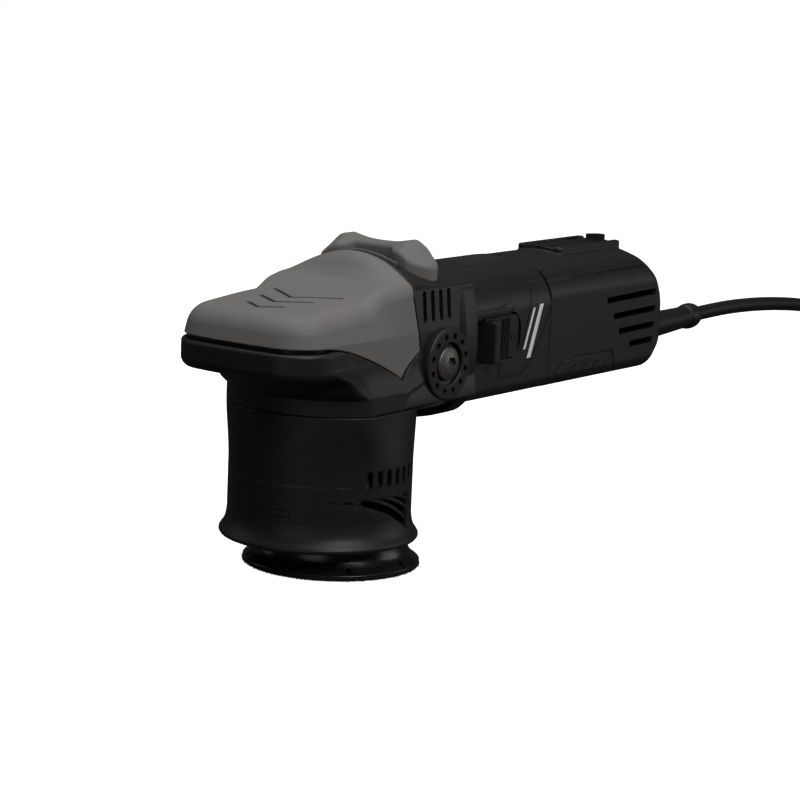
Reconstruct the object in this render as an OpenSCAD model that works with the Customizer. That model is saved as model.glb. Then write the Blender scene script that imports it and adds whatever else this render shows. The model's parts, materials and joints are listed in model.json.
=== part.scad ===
// Corded dual action polisher for 75 mm pads, in millimetres.
// Frame: the spindle turns about Z at x = y = 0, the hook face stands on z = 0,
// the nose points along -Y, the tail along +Y, and the slide switch is on the +X side.

/* [Pad] */
// Diameter of the backing plate
pad_d = 75; // [72:0.5:76]
// Thickness of the hook layer
hook_t = 2; // [1.6:0.1:2.4]
// Diameter of the orbit
orbit_d = 12; // [8:0.5:12]
// Direction of the orbit offset at rest, from +X towards +Y
orbit_angle = 55; // [0:5:355]
// Number of small holes round the rim
rim_holes = 8; // [6:1:12]

/* [Neck] */
// Outer radius of the neck
neck_r = 38.75; // [38.5:0.05:39]
// Outer radius of the flared skirt
skirt_r = 42; // [41.5:0.1:42.5]
// Height of the skirt's lower edge
neck_z0 = 13.5; // [13.4:0.1:13.8]
// Height of the seam between the neck and the head
neck_z1 = 69.3; // [69.2:0.1:69.4]
// Wall thickness of the neck
neck_wall = 2.3; // [2:0.1:2.4]
// Number of vent slots on each side of the neck
neck_slots = 7; // [5:1:8]

/* [Head] */
// Half width of the head
head_w = 35.2; // [35:0.1:35.4]
// Distance from the spindle axis to the nose
nose_reach = 61.5; // [60:0.5:62]
// Height of the crown of the nose cover
crown_z = 130.6; // [130:0.1:131]
// Wall thickness of the head's covers
head_wall = 3; // [2.8:0.1:3.2]
// Radius of the handle bosses
boss_r = 15.3; // [15:0.1:15.5]
// Number of index dimples on a handle boss
dimples = 12; // [8:1:12]
// Radius of the M8 handle bolts
handle_bolt_r = 4; // [4:0.5:4]

/* [Motor and tail] */
// Height of the motor axis
motor_z = 92; // [92:1:92]
// Half width of the motor housing
body_w = 30; // [30:0.1:30.4]
// Where the motor housing meets the head
body_y0 = 57; // [57:1:57]
// Where the motor housing meets the rear cover
tail_y0 = 124.6; // [124.6:0.1:124.8]
// Length of the rear cover
tail_l = 103.4; // [103:0.1:104]
// Wall thickness of the housings
body_wall = 2.6; // [2.4:0.1:2.8]
// Travel of the slide switch
switch_travel = 7; // [5:0.5:7]

/* [Gears] */
// Teeth of the pinion
pinion_teeth = 10; // [10:1:10]
// Teeth of the bevel gear
gear_teeth = 30; // [30:1:30]
// Pitch radius of the bevel gear at its outer end
gear_r = 24; // [23.5:0.5:24]
// Height of the bevel gear's teeth above and below the pitch cone
tooth_h = 1.1; // [0.9:0.1:1.2]

/* [Cord] */
// Diameter of the cord
cord_d = 7.3; // [7:0.1:7.5]
// Mean radius of the stored coil
coil_r = 41; // [41:0.5:42]
// Turns beside each other in the coil
coil_columns = 4; // [4:1:4]
// Layers of the coil
coil_layers = 4; // [4:1:4]
// Spacing of the plug's pins
pin_spacing = 19; // [19:0.1:19]

/* [Hidden] */

$fn = 64;
eps = 0.01;
fit_gap = 0.05;
orbit = [orbit_d / 2 * cos(orbit_angle), orbit_d / 2 * sin(orbit_angle), 0];
pad_r = pad_d / 2;
plate_top = 15;
case_r = 30;
boss_at = [0, 36, 85.5];
tail_y1 = tail_y0 + tail_l;
dial_at = [0, tail_y1 - 11, 98];
relief_tilt = 2;
relief_y = 238;
relief_z = 74.2;
relief_l = 66;
screw_x = 22.5;
screw_z = 23.5;
brush_y = 126;

// Points along the free cord, from the strain relief down to the coil
cord_route = [[0, 304, 76.5], [0, 320, 76.9], [0, 340, 77], [0, 360, 76.4], [0, 380, 75.2],
    [0, 400, 73.4], [0, 420, 71], [-1, 440, 67.5], [-3, 460, 62.5], [-6.5, 480, 55.5],
    [-11, 498, 46.5], [-16, 514, 36], [-21.5, 530, 25.5], [-27, 546, 16.5], [-32, 562, 10],
    [-35.5, 578, 6.4], [-37.7, 592, 5]];
// Points along the cord from the coil to the plug
tail_route = [[66, 592, 26.7], [65.5, 580, 26.2], [63.5, 566, 24.4], [60, 552, 21.8], [56, 539, 19.4],
    [53, 528, 18.2], [52, 518, 18]];
coil_at = [14, 600, 0];
plug_at = [52, 518, 18];
tie_t = 1;

// ---- shared shapes ----

// A closed ring of points, one section of a skin: half width w, up above and down below z,
// with its own squareness above and below
function section(y, w, z, up, down, square_up, square_down, n = 40) =
    [for (i = [0 : n - 1])
        let (a = 360 * (i + 0.5) / n, c = cos(a), s = sin(a), q = s > 0 ? square_up : square_down)
        [w * sign(c) * pow(abs(c), 2 / q), y, z + (s > 0 ? up : down) * sign(s) * pow(abs(s), 2 / q)]];

// A solid through closed rings that all have the same number of points
module skin(rings) {
    n = len(rings[0]);
    last = len(rings) - 1;
    polyhedron(
        points = [for (r = rings) each r],
        faces = concat(
            [[for (i = [n - 1 : -1 : 0]) i]],
            [[for (i = [0 : n - 1]) last * n + i]],
            [for (k = [0 : last - 1], i = [0 : n - 1]) let (j = (i + 1) % n)
                each [[k * n + i, k * n + j, (k + 1) * n + j], [k * n + i, (k + 1) * n + j, (k + 1) * n + i]]]));
}

module along_y(y0, y1, r, x = 0, z = motor_z) {
    translate([x, y0, z]) rotate([-90, 0, 0]) cylinder(h = y1 - y0, r = r);
}

module along_x(x0, x1, r, y = 0, z = 0) {
    translate([x0, y, z]) rotate([0, 90, 0]) cylinder(h = x1 - x0, r = r);
}

module ring_z(z0, z1, r_out, r_in) {
    translate([0, 0, z0]) difference() {
        cylinder(h = z1 - z0, r = r_out);
        translate([0, 0, -1]) cylinder(h = z1 - z0 + 2, r = r_in);
    }
}

module ring_y(y0, y1, r_out, r_in, z = motor_z) {
    difference() {
        along_y(y0, y1, r_out, 0, z);
        along_y(y0 - 1, y1 + 1, r_in, 0, z);
    }
}

module box(low, high) {
    translate(low) cube(high - low);
}

module both_sides() {
    children();
    mirror([1, 0, 0]) children();
}

// A screw along +Z: head under z = 0, shank above it, with a hexagon socket in the head
module cap_screw(shank_r, shank_l, head_r, head_h, key_r) {
    difference() {
        translate([0, 0, -head_h]) cylinder(h = head_h, r = head_r);
        translate([0, 0, -head_h - 1]) cylinder(h = 1 + head_h * 0.55, r = key_r, $fn = 6);
    }
    cylinder(h = shank_l, r = shank_r);
}

// A ball bearing standing on z = 0, with a groove in each face
module bearing(r_in, r_out, h) {
    mid = (r_in + r_out) / 2;
    groove = (r_out - r_in) * 0.22;
    difference() {
        ring_z(0, h, r_out, r_in);
        for (z = [-1, h - 0.5]) ring_z(z, z + 1.5, mid + groove, mid - groove);
    }
}

// ---- head, seen from the spindle axis ----

// Length, half width, top and bottom of the head's outer form along Y
function nose_w(y, inset) = let (r = 15, front = inset - nose_reach, d = min(max(y - front, 0), r))
    head_w - inset - r + sqrt(max(r * r - (r - d) * (r - d), 0));
function head_top(y) = y < 18 ? crown_z - 20.6 * pow((18 - y) / (18 + nose_reach), 1.7)
    : crown_z - 5.6 * min((y - 18) / 12, 1);
function head_bottom(y) = y < -44 ? 83.5 : y < -30 ? 83.5 - (y + 44) * 0.5
    : y < -16 ? 76.5 - (y + 30) * 0.5 : neck_z1 + 0.2;
function head_ring(y, inset) = let (top = head_top(y) - inset, low = head_bottom(y) + inset, mid = 100)
    section(y, nose_w(y, inset), mid, top - mid, mid - low, y < -40 ? 3.2 : 3.6, y < -40 ? 4 : 12);

module head_form(inset) {
    start = inset - nose_reach;
    ys = [start + 0.6, start + 2, start + 5, start + 9, start + 15, -38, -30, -23, -16, -8, 2, 10, 18,
        22, 30, 38, 46];
    skin([for (y = ys) head_ring(y, inset)]);
}

// Side outline of the part of the head that the grey cover takes
module cover_region(x) {
    rotate([90, 0, 90]) translate([0, 0, -x])
        linear_extrude(2 * x)
            polygon([[-70, 98.5], [-34, 98.5], [-24, 96.5], [-12, 92], [-2, 87.5], [7, 82], [12, 87.5],
                [19, 92.6], [15, 115], [17, 121.5], [18.6, 128], [18.6, 140], [-70, 140]]);
}

module nose_cover() {
    color("#6b6968") difference() {
        intersection() {
            head_form(0);
            cover_region(40);
        }
        head_form(head_wall + 0.5);
    }
}

module band() {
    skin([for (y = [44, 46, body_y0 - 1, body_y0])
        let (g = (y == 44 || y == body_y0) ? 0.8 : 0)
        section(y, 37.4 - g, 92, 31.6 - g, 34 - g, 3.6, 3.2)]);
}

module vent_slot(y, x) {
    box([x, y - 0.95, 105], [x + 12, y + 0.95, 116]);
    along_x(x, x + 12, 0.95, y, 105);
    along_x(x, x + 12, 0.95, y, 116);
}

module head_shell() {
    color("#262626") difference() {
        union() {
            difference() {
                union() {
                    head_form(0);
                    translate([0, 0, neck_z1 + 0.2]) cylinder(h = 11, r = neck_r - 0.2);
                }
                cover_region(41);
                head_form(head_wall);
            }
            band();
        }
        translate([0, 0, neck_z1 - 1]) cylinder(h = 12, r = case_r + 0.2);
        box([-31, 0, neck_z1 - 12], [31, 45, neck_z1 + 10]);
        skin([for (y = [-31, 44]) section(y, 32, 92, 30, 26, 4, 8)]);
        skin([for (y = [43, body_y0 + 1]) section(y, 33.8, 92, 29.6, 31, 4, 4)]);
        both_sides() for (k = [0 : 3]) vent_slot(22.4 + 5.7 * k, 28);
        both_sides() along_x(28, 40, handle_bolt_r + 0.2, boss_at.y, boss_at.z);
        both_sides() index_dimples(1.7, 35.4);
    }
}

module grip_profile() {
    polygon(concat(
        [[-29.5, 123], [-30, 127]],
        [for (x = [-17 : 2 : 17]) [x, 132.4 + 3.4 * pow(sin(x * 90 / 17), 2)]],
        [[30, 127], [29.5, 123], [20, 118], [-20, 118]]));
}

module top_grip() {
    color("#747270") difference() {
        translate([0, 43, 0]) rotate([90, 0, 0]) linear_extrude(17) grip_profile();
        head_form(0);
    }
}

// The blind holes round the handle bolt, cut from the boss and from the band behind it
module index_dimples(r, x0) {
    for (k = [0 : dimples - 1])
        translate([0, boss_at.y, boss_at.z]) rotate([360 * (k + 0.5) / dimples, 0, 0])
            along_x(x0, 40, r, 11.9, 0);
}

module side_boss() {
    difference() {
        along_x(34, 38.4, boss_r, boss_at.y, boss_at.z);
        head_form(0);
        band();
        along_x(36.6, 40, 8.9, boss_at.y, boss_at.z);
        along_x(30, 40, handle_bolt_r + 0.2, boss_at.y, boss_at.z);
        index_dimples(1.3, 36.2);
    }
}

module side_boss_right() {
    color("#2b2b2b") side_boss();
}

module side_boss_left() {
    color("#2b2b2b") mirror([1, 0, 0]) side_boss();
}

module boss_bolts() {
    color("#4a4a4c") both_sides() translate([36.6, boss_at.y, boss_at.z]) rotate([0, -90, 0])
        cap_screw(handle_bolt_r, 12, 7.2, 3.6, 2.9);
}

// ---- gear case ----

module corner_screws_at() {
    for (sx = [-1, 1], sz = [-1, 1]) translate([sx * screw_x, 0, motor_z + sz * screw_z]) children();
}

module gear_case() {
    color("#b4b5b8") difference() {
        union() {
            translate([0, 0, neck_z1 + 0.1]) cylinder(h = 104 - neck_z1, r = case_r);
            cylinder(h = 108, r = 16);
            intersection() {
                along_y(0, 50, 26);
                box([-40, 0, neck_z1 + 0.1], [40, 60, 130]);
            }
            intersection() {
                along_y(neck_r + 0.6, 50, 26);
                box([-40, 0, 60], [40, 60, 130]);
            }
            skin([for (y = [49, body_y0 - 0.1]) section(y, 33.4, 92, 29, 30.4, 4, 4)]);
            both_sides() along_x(15, 31.8, 9, boss_at.y, boss_at.z);
            translate([0, 0, 48]) cylinder(h = 22, r = 23.4);
        }
        translate([0, 0, -1]) cylinder(h = 49, r = 17);
        translate([0, 0, 72]) cylinder(h = 18, r = 27);
        translate([0, 0, 89]) cylinder(h = 8, r = 9.5);
        translate([0, 0, 96]) cylinder(h = 8, r = 11);
        translate([0, 0, 60]) cylinder(h = 13, r = 11);
        translate([0, 0, 47]) cylinder(h = 14, r = 17.5);
        along_y(10, 43, 11);
        along_y(42, 60, 14);
        both_sides() along_x(22, 33, handle_bolt_r, boss_at.y, boss_at.z);
        corner_screws_at() along_y(40, 60, 2.1, 0, 0);
        corner_screws_at() along_y(36, 49, 4.2, 0, 0);
        for (k = [0 : 3]) rotate([0, 0, 45 + 90 * k]) translate([20.5, 0, 47]) cylinder(h = 10, r = 1.5);
        for (k = [0 : 3]) rotate([0, 0, 45 + 90 * k]) translate([28.3, 0, 68]) cylinder(h = 4, r = 1.25);
    }
}

module gear_case_screws() {
    color("#3c3c3e") corner_screws_at() translate([0, 49, 0]) rotate([-90, 0, 0])
        cap_screw(2, 22, 3.5, 4, 1.8);
}

module upper_bearing() {
    color("#c4c6ca") translate([0, 0, 97]) bearing(4, 11, 7);
}

module lower_bearing() {
    color("#c4c6ca") translate([0, 0, 50]) bearing(7.5, 17.5, 11);
}

module bearing_retainer() {
    color("#a9abad") difference() {
        ring_z(45, 48, 23.4, 10.5);
        ring_z(47, 49, 17.5, 9);
        for (k = [0 : 3]) rotate([0, 0, 45 + 90 * k]) translate([20.5, 0, 44]) cylinder(h = 6, r = 1.5);
        for (k = [0 : 3]) rotate([0, 0, 45 + 90 * k]) translate([20.5, 0, 44]) cylinder(h = 2.6, r = 2.8);
    }
    color("#a9abad") ring_z(47, 50, 17.4, 14.5);
}

module retainer_screws() {
    color("#3c3c3e") for (k = [0 : 3]) rotate([0, 0, 45 + 90 * k]) translate([20.5, 0, 46.6])
        cap_screw(1.5, 8, 2.7, 1.5, 1.2);
}

module front_bearing() {
    color("#c4c6ca") translate([0, 42.5, motor_z]) rotate([-90, 0, 0]) bearing(6, 14, 8);
}

module rear_bearing() {
    color("#c4c6ca") translate([0, 136, motor_z]) rotate([-90, 0, 0]) bearing(4, 11, 7);
}

// ---- neck ----

module shroud() {
    color("#242424") difference() {
        rotate_extrude($fn = 96) polygon(concat(
            [[24, neck_z1], [neck_r, neck_z1], [neck_r, 25]],
            [for (a = [0 : 15 : 75]) [skirt_r - 3.25 * cos(a) + (a > 60 ? 0.1 : 0), 25 - 9 * sin(a)]],
            [for (a = [60 : -30 : -60]) [skirt_r - 1 + cos(a), neck_z0 + 1 + sin(a)]],
            [[skirt_r - 1.6, neck_z0], [skirt_r - 2.2, neck_z0 + 1.5], [neck_r - 0.9, 18.5],
                [neck_r - neck_wall, 23], [neck_r - neck_wall, neck_z1 - 3.3], [24, neck_z1 - 3.3]]));
        both_sides() for (k = [0 : neck_slots - 1]) rotate([0, 0, -20.4 + 7.8 * k]) {
            box([30, -1.25, 40], [45, 1.25, 45]);
            along_x(30, 45, 1.25, 0, 40);
            along_x(30, 45, 1.25, 0, 45);
        }
        both_sides() swept_opening();
        for (k = [0 : 3]) rotate([0, 0, 45 + 90 * k]) translate([28.3, 0, 60]) cylinder(h = 12, r = 1.5);
    }
}

// Window in the side of the skirt: flat on top and swept down to the rear, with slanted blades left
module swept_opening() {
    difference() {
        rotate([90, 0, 90]) translate([0, 0, 30]) linear_extrude(16)
            polygon([[-28, 33.5], [-16, 35], [10, 35], [10.5, 22], [3, 26.5], [-8, 30.6], [-18, 32.6]]);
        for (k = [0 : 2])
            translate([28, -7 + 7 * k, 35]) rotate([-40 - 8 * k, 0, 0]) box([0, -0.7, -22], [20, 0.7, 2]);
    }
}

module shroud_screws() {
    color("#3c3c3e") for (k = [0 : 3]) rotate([0, 0, 45 + 90 * k]) translate([28.3, 0, neck_z1 - 3.3])
        cap_screw(1.25, 6, 2.6, 2, 1.2);
}

// ---- motor housing ----

function body_ring(y, inset) = section(y, body_w - inset, motor_z, 29 - inset, 29.5 - inset, 4.5, 4.5);

module body_form(y0, y1, inset) {
    skin([body_ring(y0, inset), body_ring(y1, inset)]);
}

module switch_recess() {
    box([body_w - 1.6, body_y0 - 1, 80.5], [body_w + 5, 94, 101.5]);
    along_x(body_w - 1.6, body_w + 5, 7, 94, 87.5);
    along_x(body_w - 1.6, body_w + 5, 7, 94, 94.5);
}

module motor_housing() {
    color("#2a2a2a") difference() {
        union() {
            difference() {
                union() {
                    body_form(body_y0, tail_y0, 0);
                    box([20, body_y0, 101.6], [body_w + 2.2, 92, 104]);
                }
                body_form(body_y0 - 1, tail_y0 + 1, body_wall);
            }
            intersection() {
                body_form(body_y0, 74, 1);
                corner_screws_at() along_y(body_y0, 74, 4.5, 0, 0);
            }
            difference() {
                union() {
                    body_form(tail_y0 - 3, 138, 3);
                    body_form(tail_y0 - 3, tail_y0, 2);
                }
                body_form(tail_y0 - 4, 134, 5.2);
            }
            along_y(134, 144.5, 14);
        }
        switch_recess();
        box([24, 69.5, 87], [32, 84.5, 93]);
        corner_screws_at() along_y(50, 72, 2, 0, 0);
        along_y(130, 137, 6);
        along_y(136, 143.1, 11);
        box([23, tail_y0 - 4, 84], [28, 140, 96]);
        both_sides() translate([12, 130, 0]) cylinder(h = 70, r = 1.5);
        box([-10.1, 86, motor_z + 28.2], [10.1, 122, 130]);
        both_sides() accent_bar(0.8);
    }
}

module name_plate() {
    color("#353535") box([-10, 86.1, motor_z + 28.2], [10, 121.9, motor_z + 29]);
}

// Slanted bar on the side of the motor housing, sunk by the given depth
module accent_bar(depth) {
    rotate([90, 0, 90]) translate([0, 0, body_w - depth]) linear_extrude(depth + 0.3)
        polygon([[106.6, 78.5], [109.4, 78.5], [118.6, 103], [115.8, 103]]);
}

module accent_plates() {
    color("#d9d9d9") both_sides() accent_bar(0.8);
}

module stator_core() {
    color("#77797c") difference() {
        intersection() {
            along_y(76, 112, 26.2);
            box([-24, 70, 60], [24, 120, 130]);
        }
        along_y(75, 113, 15.8);
        for (a = [32, 148, 212, 328]) along_y(75, 113, 2.7, 21 * cos(a), motor_z + 21 * sin(a));
    }
}

module field_coils() {
    color("#a65a2a") for (turn = [0, 180], y = [69.6, 112]) translate([0, y, motor_z])
        rotate([-90, 0, 0]) rotate([0, 0, turn + 28]) rotate_extrude(angle = 124)
            polygon([[18.2, 0.4], [18.8, 0], [23.2, 0], [23.8, 0.4], [23.8, 6.1], [23.2, 6.4], [18.8, 6.4],
                [18.2, 6.1]]);
    color("#a65a2a") for (a = [32, 148, 212, 328])
        along_y(75.9, 112.1, 2.6, 21 * cos(a), motor_z + 21 * sin(a));
}

module fan_baffle() {
    color("#3a3a3a") difference() {
        intersection() {
            along_y(66, 68, 26.2);
            box([-23.6, 60, 60], [23.6, 75, 130]);
        }
        along_y(65, 70, 19);
        corner_screws_at() along_y(60, 74, 5, 0, 0);
    }
}

module brush_boxes(y_half, x_half, z0, z1) {
    for (turn = [0, 180]) translate([0, brush_y, motor_z]) rotate([0, turn, 0])
        box([-x_half, -y_half, z0], [x_half, y_half, z1]);
}

module brush_holders() {
    color("#b8923e") difference() {
        brush_boxes(4.6, 6, 13, 23.6);
        brush_boxes(3.3, 4.2, 12, 22.8);
    }
}

module carbon_brushes() {
    color("#333335") brush_boxes(3.2, 4.1, 11.4, 19.5);
}

module brush_springs() {
    color("#9a9a9c") for (turn = [0, 180]) translate([0, brush_y, motor_z]) rotate([0, turn, 0])
        for (k = [0 : 3]) ring_z(19.55 + 0.82 * k, 20.05 + 0.82 * k, 2.6, 1.8);
}

// ---- armature ----

module armature_shaft() {
    color("#8e9094") {
        along_y(14.5, 34, 3);
        along_y(34, 54, 6 - fit_gap);
        along_y(54, 134, 5);
        along_y(134, 142.8, 4 - fit_gap);
    }
}

module armature_core() {
    color("#6f7174") difference() {
        along_y(76, 112, 15);
        along_y(75, 113, 5);
        for (k = [0 : 11]) translate([0, 75, motor_z]) rotate([0, 30 * k, 0]) box([-0.8, 0, 11], [0.8, 40, 16]);
    }
}

module armature_windings() {
    color("#b4642d") translate([0, 0, motor_z]) rotate([-90, 0, 0]) {
        for (y = [70, 112]) translate([0, 0, y]) rotate_extrude()
            polygon([[5, 0], [11, 0], [13.2, 1.5], [13.2, 4.5], [11.5, 6], [5, 6]]);
    }
}

module commutator() {
    color("#b87643") difference() {
        along_y(118.5, 133, 11);
        along_y(118, 134, 5);
        for (k = [0 : 11]) translate([0, 120, motor_z]) rotate([0, 30 * k, 0])
            box([-0.3, 0, 10], [0.3, 14, 12]);
    }
}

module motor_fan() {
    color("#303030") {
        ring_y(63, 65, 24.5, 5);
        ring_y(58.5, 65, 8, 5);
        for (k = [0 : 8]) translate([0, 58.5, motor_z]) rotate([0, 40 * k, 0])
            box([-0.8, 0, 7.5], [0.8, 5, 24]);
    }
}

// ---- gears ----

// Straight bevel teeth about Z with their apex at the origin and pitch cone slope (rise / radius).
// Widths are fractions of the tooth pitch at the root, at the pitch line and at the tip.
module bevel_teeth(teeth, r_out, slope, lift, root_w, tip_w) {
    r_in = r_out * 2 / 3;
    cone = sqrt(1 + slope * slope);
    step = 360 / teeth;
    for (k = [0 : teeth - 1]) rotate([0, 0, step * k])
        polyhedron(
            points = [for (r = [r_in, r_out]) let (s = r / r_out)
                each [for (side = [[-1, root_w, -1.35], [1, root_w, -1.35], [1, tip_w, 1], [-1, tip_w, 1]])
                    let (h = side[2] * lift * s, rad = r + h * slope / cone, a = side[0] * side[1] * step / 2)
                    [rad * cos(a), rad * sin(a), -r * slope + h / cone]]],
            faces = [[0, 1, 2, 3], [7, 6, 5, 4], [0, 4, 5, 1], [1, 5, 6, 2], [2, 6, 7, 3], [3, 7, 4, 0]]);
}

module bevel_gear() {
    slope = pinion_teeth / gear_teeth;
    edge = motor_z - gear_r * slope;
    color("#9c9ea1") {
        difference() {
            rotate_extrude() polygon([[6, 74], [gear_r - 3, 74], [gear_r + 0.2, 77], [gear_r + 0.2, edge - 1.6],
                [16, edge + 1.45], [15, edge], [10, edge], [10, 86], [6, 86]]);
        }
        translate([0, 0, motor_z]) rotate([0, 0, 90])
            bevel_teeth(gear_teeth, gear_r, slope, tooth_h, 0.47, 0.2);
    }
}

module pinion() {
    slope = gear_teeth / pinion_teeth;
    small_r = gear_r / slope;
    color("#9c9ea1") translate([0, 0, motor_z]) rotate([90, 0, 0]) {
        difference() {
            rotate_extrude() polygon([[3, -34], [6.2, -34], [6.2, -gear_r - 0.6], [small_r - 1.45, -gear_r],
                [small_r * 2 / 3 - 1.05, -gear_r * 2 / 3], [3, -gear_r * 2 / 3]]);
        }
        rotate([0, 0, -90 + 180 / pinion_teeth])
            bevel_teeth(pinion_teeth, small_r, slope, tooth_h, 0.42, 0.2);
    }
}

// ---- spindle ----

module spindle() {
    color("#8e9094") difference() {
        union() {
            translate([0, 0, 42]) cylinder(h = 30, r = 7.5 - fit_gap);
            translate([0, 0, 71.9]) cylinder(h = 14.1, r = 6);
            translate([0, 0, 86]) cylinder(h = 6, r = 5);
            translate([0, 0, 92]) cylinder(h = 11.5, r = 4 - fit_gap);
            translate([0, 0, 37.1]) cylinder(h = 4.9, r = 22);
            translate([0, 0, 42]) cylinder(h = 1.5, r = 9.5);
            translate(orbit + [0, 0, 19]) cylinder(h = 20, r = 17);
        }
        translate(orbit + [0, 0, 18]) cylinder(h = 18, r = 13);
        translate(orbit + [0, 0, 35]) cylinder(h = 3.4, r = 10);
        weight_screws_at() cylinder(h = 20, r = 1.6);
    }
}

module weight_screws_at() {
    for (side = [-1, 1]) rotate([0, 0, orbit_angle + 180 + 42 * side]) translate([17.5, 0, 30]) children();
}

module spindle_nut() {
    color("#3c3c3e") translate([0, 0, 86]) difference() {
        cylinder(h = 4.5, r = 8.5, $fn = 6);
        translate([0, 0, -1]) cylinder(h = 7, r = 5);
    }
}

module counterweight() {
    color("#c2c4c6") difference() {
        union() {
            translate([0, 0, 33]) cylinder(h = 4, r = 33);
            intersection() {
                translate([0, 0, 20]) cylinder(h = 14, r = 33);
                rotate([0, 0, orbit_angle + 180]) box([2, -40, 19], [40, 40, 35]);
            }
        }
        translate(orbit + [0, 0, 18]) cylinder(h = 20, r = 17);
        weight_screws_at() translate([0, 0, -15]) cylinder(h = 15, r = 3.2);
        weight_screws_at() cylinder(h = 10, r = 1.6);
    }
}

module counterweight_screws() {
    color("#3c3c3e") weight_screws_at() cap_screw(1.6, 11, 3, 3, 1.4);
}

module eccentric_bearings() {
    color("#c4c6ca") translate(orbit) for (z = [19.5, 27.6]) translate([0, 0, z]) bearing(5, 13, 8);
}

// ---- pad ----

module pad_arbor() {
    color("#8e9094") translate(orbit) difference() {
        union() {
            translate([0, 0, plate_top]) cylinder(h = 3.6, r = 7.5);
            translate([0, 0, plate_top + 3]) cylinder(h = 19.4, r = 5 - fit_gap);
        }
        translate([0, 0, plate_top - 1]) cylinder(h = 18, r = 3);
    }
}

module backing_plate() {
    color("#1b1b1b") translate(orbit) difference() {
        rotate_extrude($fn = 96) polygon(concat(
            [[3.2, hook_t], [pad_r - 0.4, hook_t], [pad_r, hook_t + 0.6], [pad_r, 4.2]],
            [for (a = [20 : 15 : 80]) [pad_r - 4.9 * sin(a), 12.2 - 8 * cos(a)]],
            [[pad_r - 5.2, 13.6], [pad_r - 7.5, plate_top], [3.2, plate_top]]));
        translate([0, 0, 1]) cylinder(h = 8, r = 6);
        for (k = [0 : rim_holes - 1]) rotate([0, 0, 360 * (k + 0.08) / rim_holes - 90])
            along_x(pad_r - 6, pad_r + 3, 1.3, 0, 4.6);
    }
}

module hook_face() {
    color("#3b3b3b") translate(orbit) ring_z(0, hook_t, pad_r - 0.3, 4.5);
}

module pad_bolt() {
    color("#4a4a4c") translate(orbit + [0, 0, 9]) cap_screw(3, 20, 5.2, 5.5, 2.9);
}

// ---- switch, dial and electrics ----

module switch_slider() {
    color("#1f1f1f") {
        box([body_w - 1.5, 77, 81.5], [body_w, 92, 99]);
        skin([[[28.5, 72.2, 81], [28.5, 78.4, 81], [36, 77.2, 81.4], [36, 73.2, 81.4]],
            [[28.5, 72.2, 99], [28.5, 78.4, 99], [36, 77.2, 98.4], [36, 73.2, 98.4]]]);
        for (k = [0 : 3]) box([body_w - 0.1, 81.5 + 2.6 * k, 82.5], [body_w + 0.9, 82.7 + 2.6 * k, 98]);
        box([26.6, 77.5, 88], [28.6, 84, 92]);
    }
}

module switch_rod() {
    color("#444444") {
        box([24.4, 74, 86], [26.6, 166, 94]);
        box([19.6, 145.6, 88], [24.5, 148.6, 92]);
    }
}

module switch_block() {
    color("#2f3a40") difference() {
        box([12, 150, 82], [24, 174, 102]);
        box([20, 149, 87.5], [25, 158, 92.5]);
    }
}

module control_board() {
    color("#2c5a3c") box([-22.5, 148, 74], [-20.9, 200, 110]);
}

module capacitor() {
    color("#b8a85a") box([-20.9, 156, 94], [-9, 174, 106]);
}

module speed_dial() {
    color("#343434") translate(dial_at) difference() {
        union() {
            along_x(-4, 4, 14, 0, 0);
            along_x(3, 10, 3 - fit_gap, 0, 0);
        }
        for (k = [0 : 23]) rotate([15 * k, 0, 0]) translate([0, 14.4, 0]) along_x(-5, 5, 0.9, 0, 0);
    }
}

module dial_potentiometer() {
    color("#3d4a63") difference() {
        translate(dial_at) box([5.2, -11, -9], [11, 7, 9]);
        translate(dial_at) along_x(5, 12, 3, 0, 0);
    }
}

// ---- rear cover and cord outlet ----

function tail_ring(y, inset) = let (t = max(y - tail_y0 - 78, 0) / (tail_l - 78), k = t * t)
    section(y, body_w - inset - 8 * pow(k, 1.6), motor_z, 29 - inset - 13 * k, 29.5 - inset - 7.5 * k * t,
        4.5, 4.5);

module tail_form(y0, y1, inset) {
    ys = [y0, tail_y0 + 60, tail_y0 + 80, tail_y0 + 87, tail_y0 + 93, tail_y0 + 98, y1];
    skin([for (y = ys) tail_ring(y, inset)]);
}

module tail_slot(k) {
    z = 99 - 7.8 * k;
    front = 174 + [0, 6, 11.5, 21][k];
    box([24, front, z - 1.3], [32, 213.5, z + 1.3]);
    along_x(24, 32, 1.3, front, z);
}

module rear_cover() {
    color("#282828") difference() {
        union() {
            tail_form(tail_y0 + 0.1, tail_y1, 0);
            box([-12, 152, 119], [12, 212, 122.6]);
            translate([0, relief_y, relief_z]) rotate([-90 + relief_tilt, 0, 0]) translate([0, 0, -20])
                cylinder(h = 20, r1 = 11.5, r2 = 9);
        }
        tail_form(tail_y0, tail_y1 - body_wall, body_wall);
        box([-8.6, 158, 121.8], [8.6, 206, 125]);
        both_sides() for (k = [0 : 3]) tail_slot(k);
        translate(dial_at) along_x(-4.8, 4.8, 14.8, 0, 0);
        cord_line(-60, 10, cord_d / 2 + 0.05);
        both_sides() translate([12, 130, 55]) cylinder(h = 20, r = 1.8);
        both_sides() translate([12, 130, 55]) cylinder(h = 9, r = 3.2);
    }
    color("#282828") difference() {
        box([-13, 202, 64.4], [13, 212, 69]);
        both_sides() translate([9, 207, 62]) cylinder(h = 10, r = 1.3);
    }
}

module cord_line(from, to, r) {
    translate([0, relief_y, relief_z]) rotate([-90 + relief_tilt, 0, 0]) translate([0, 0, from])
        cylinder(h = to - from, r = r);
}

module rear_cover_screws() {
    color("#3c3c3e") both_sides() translate([12, 130, 64]) cap_screw(1.5, 7.5, 3, 1.6, 1.3);
}

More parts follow.
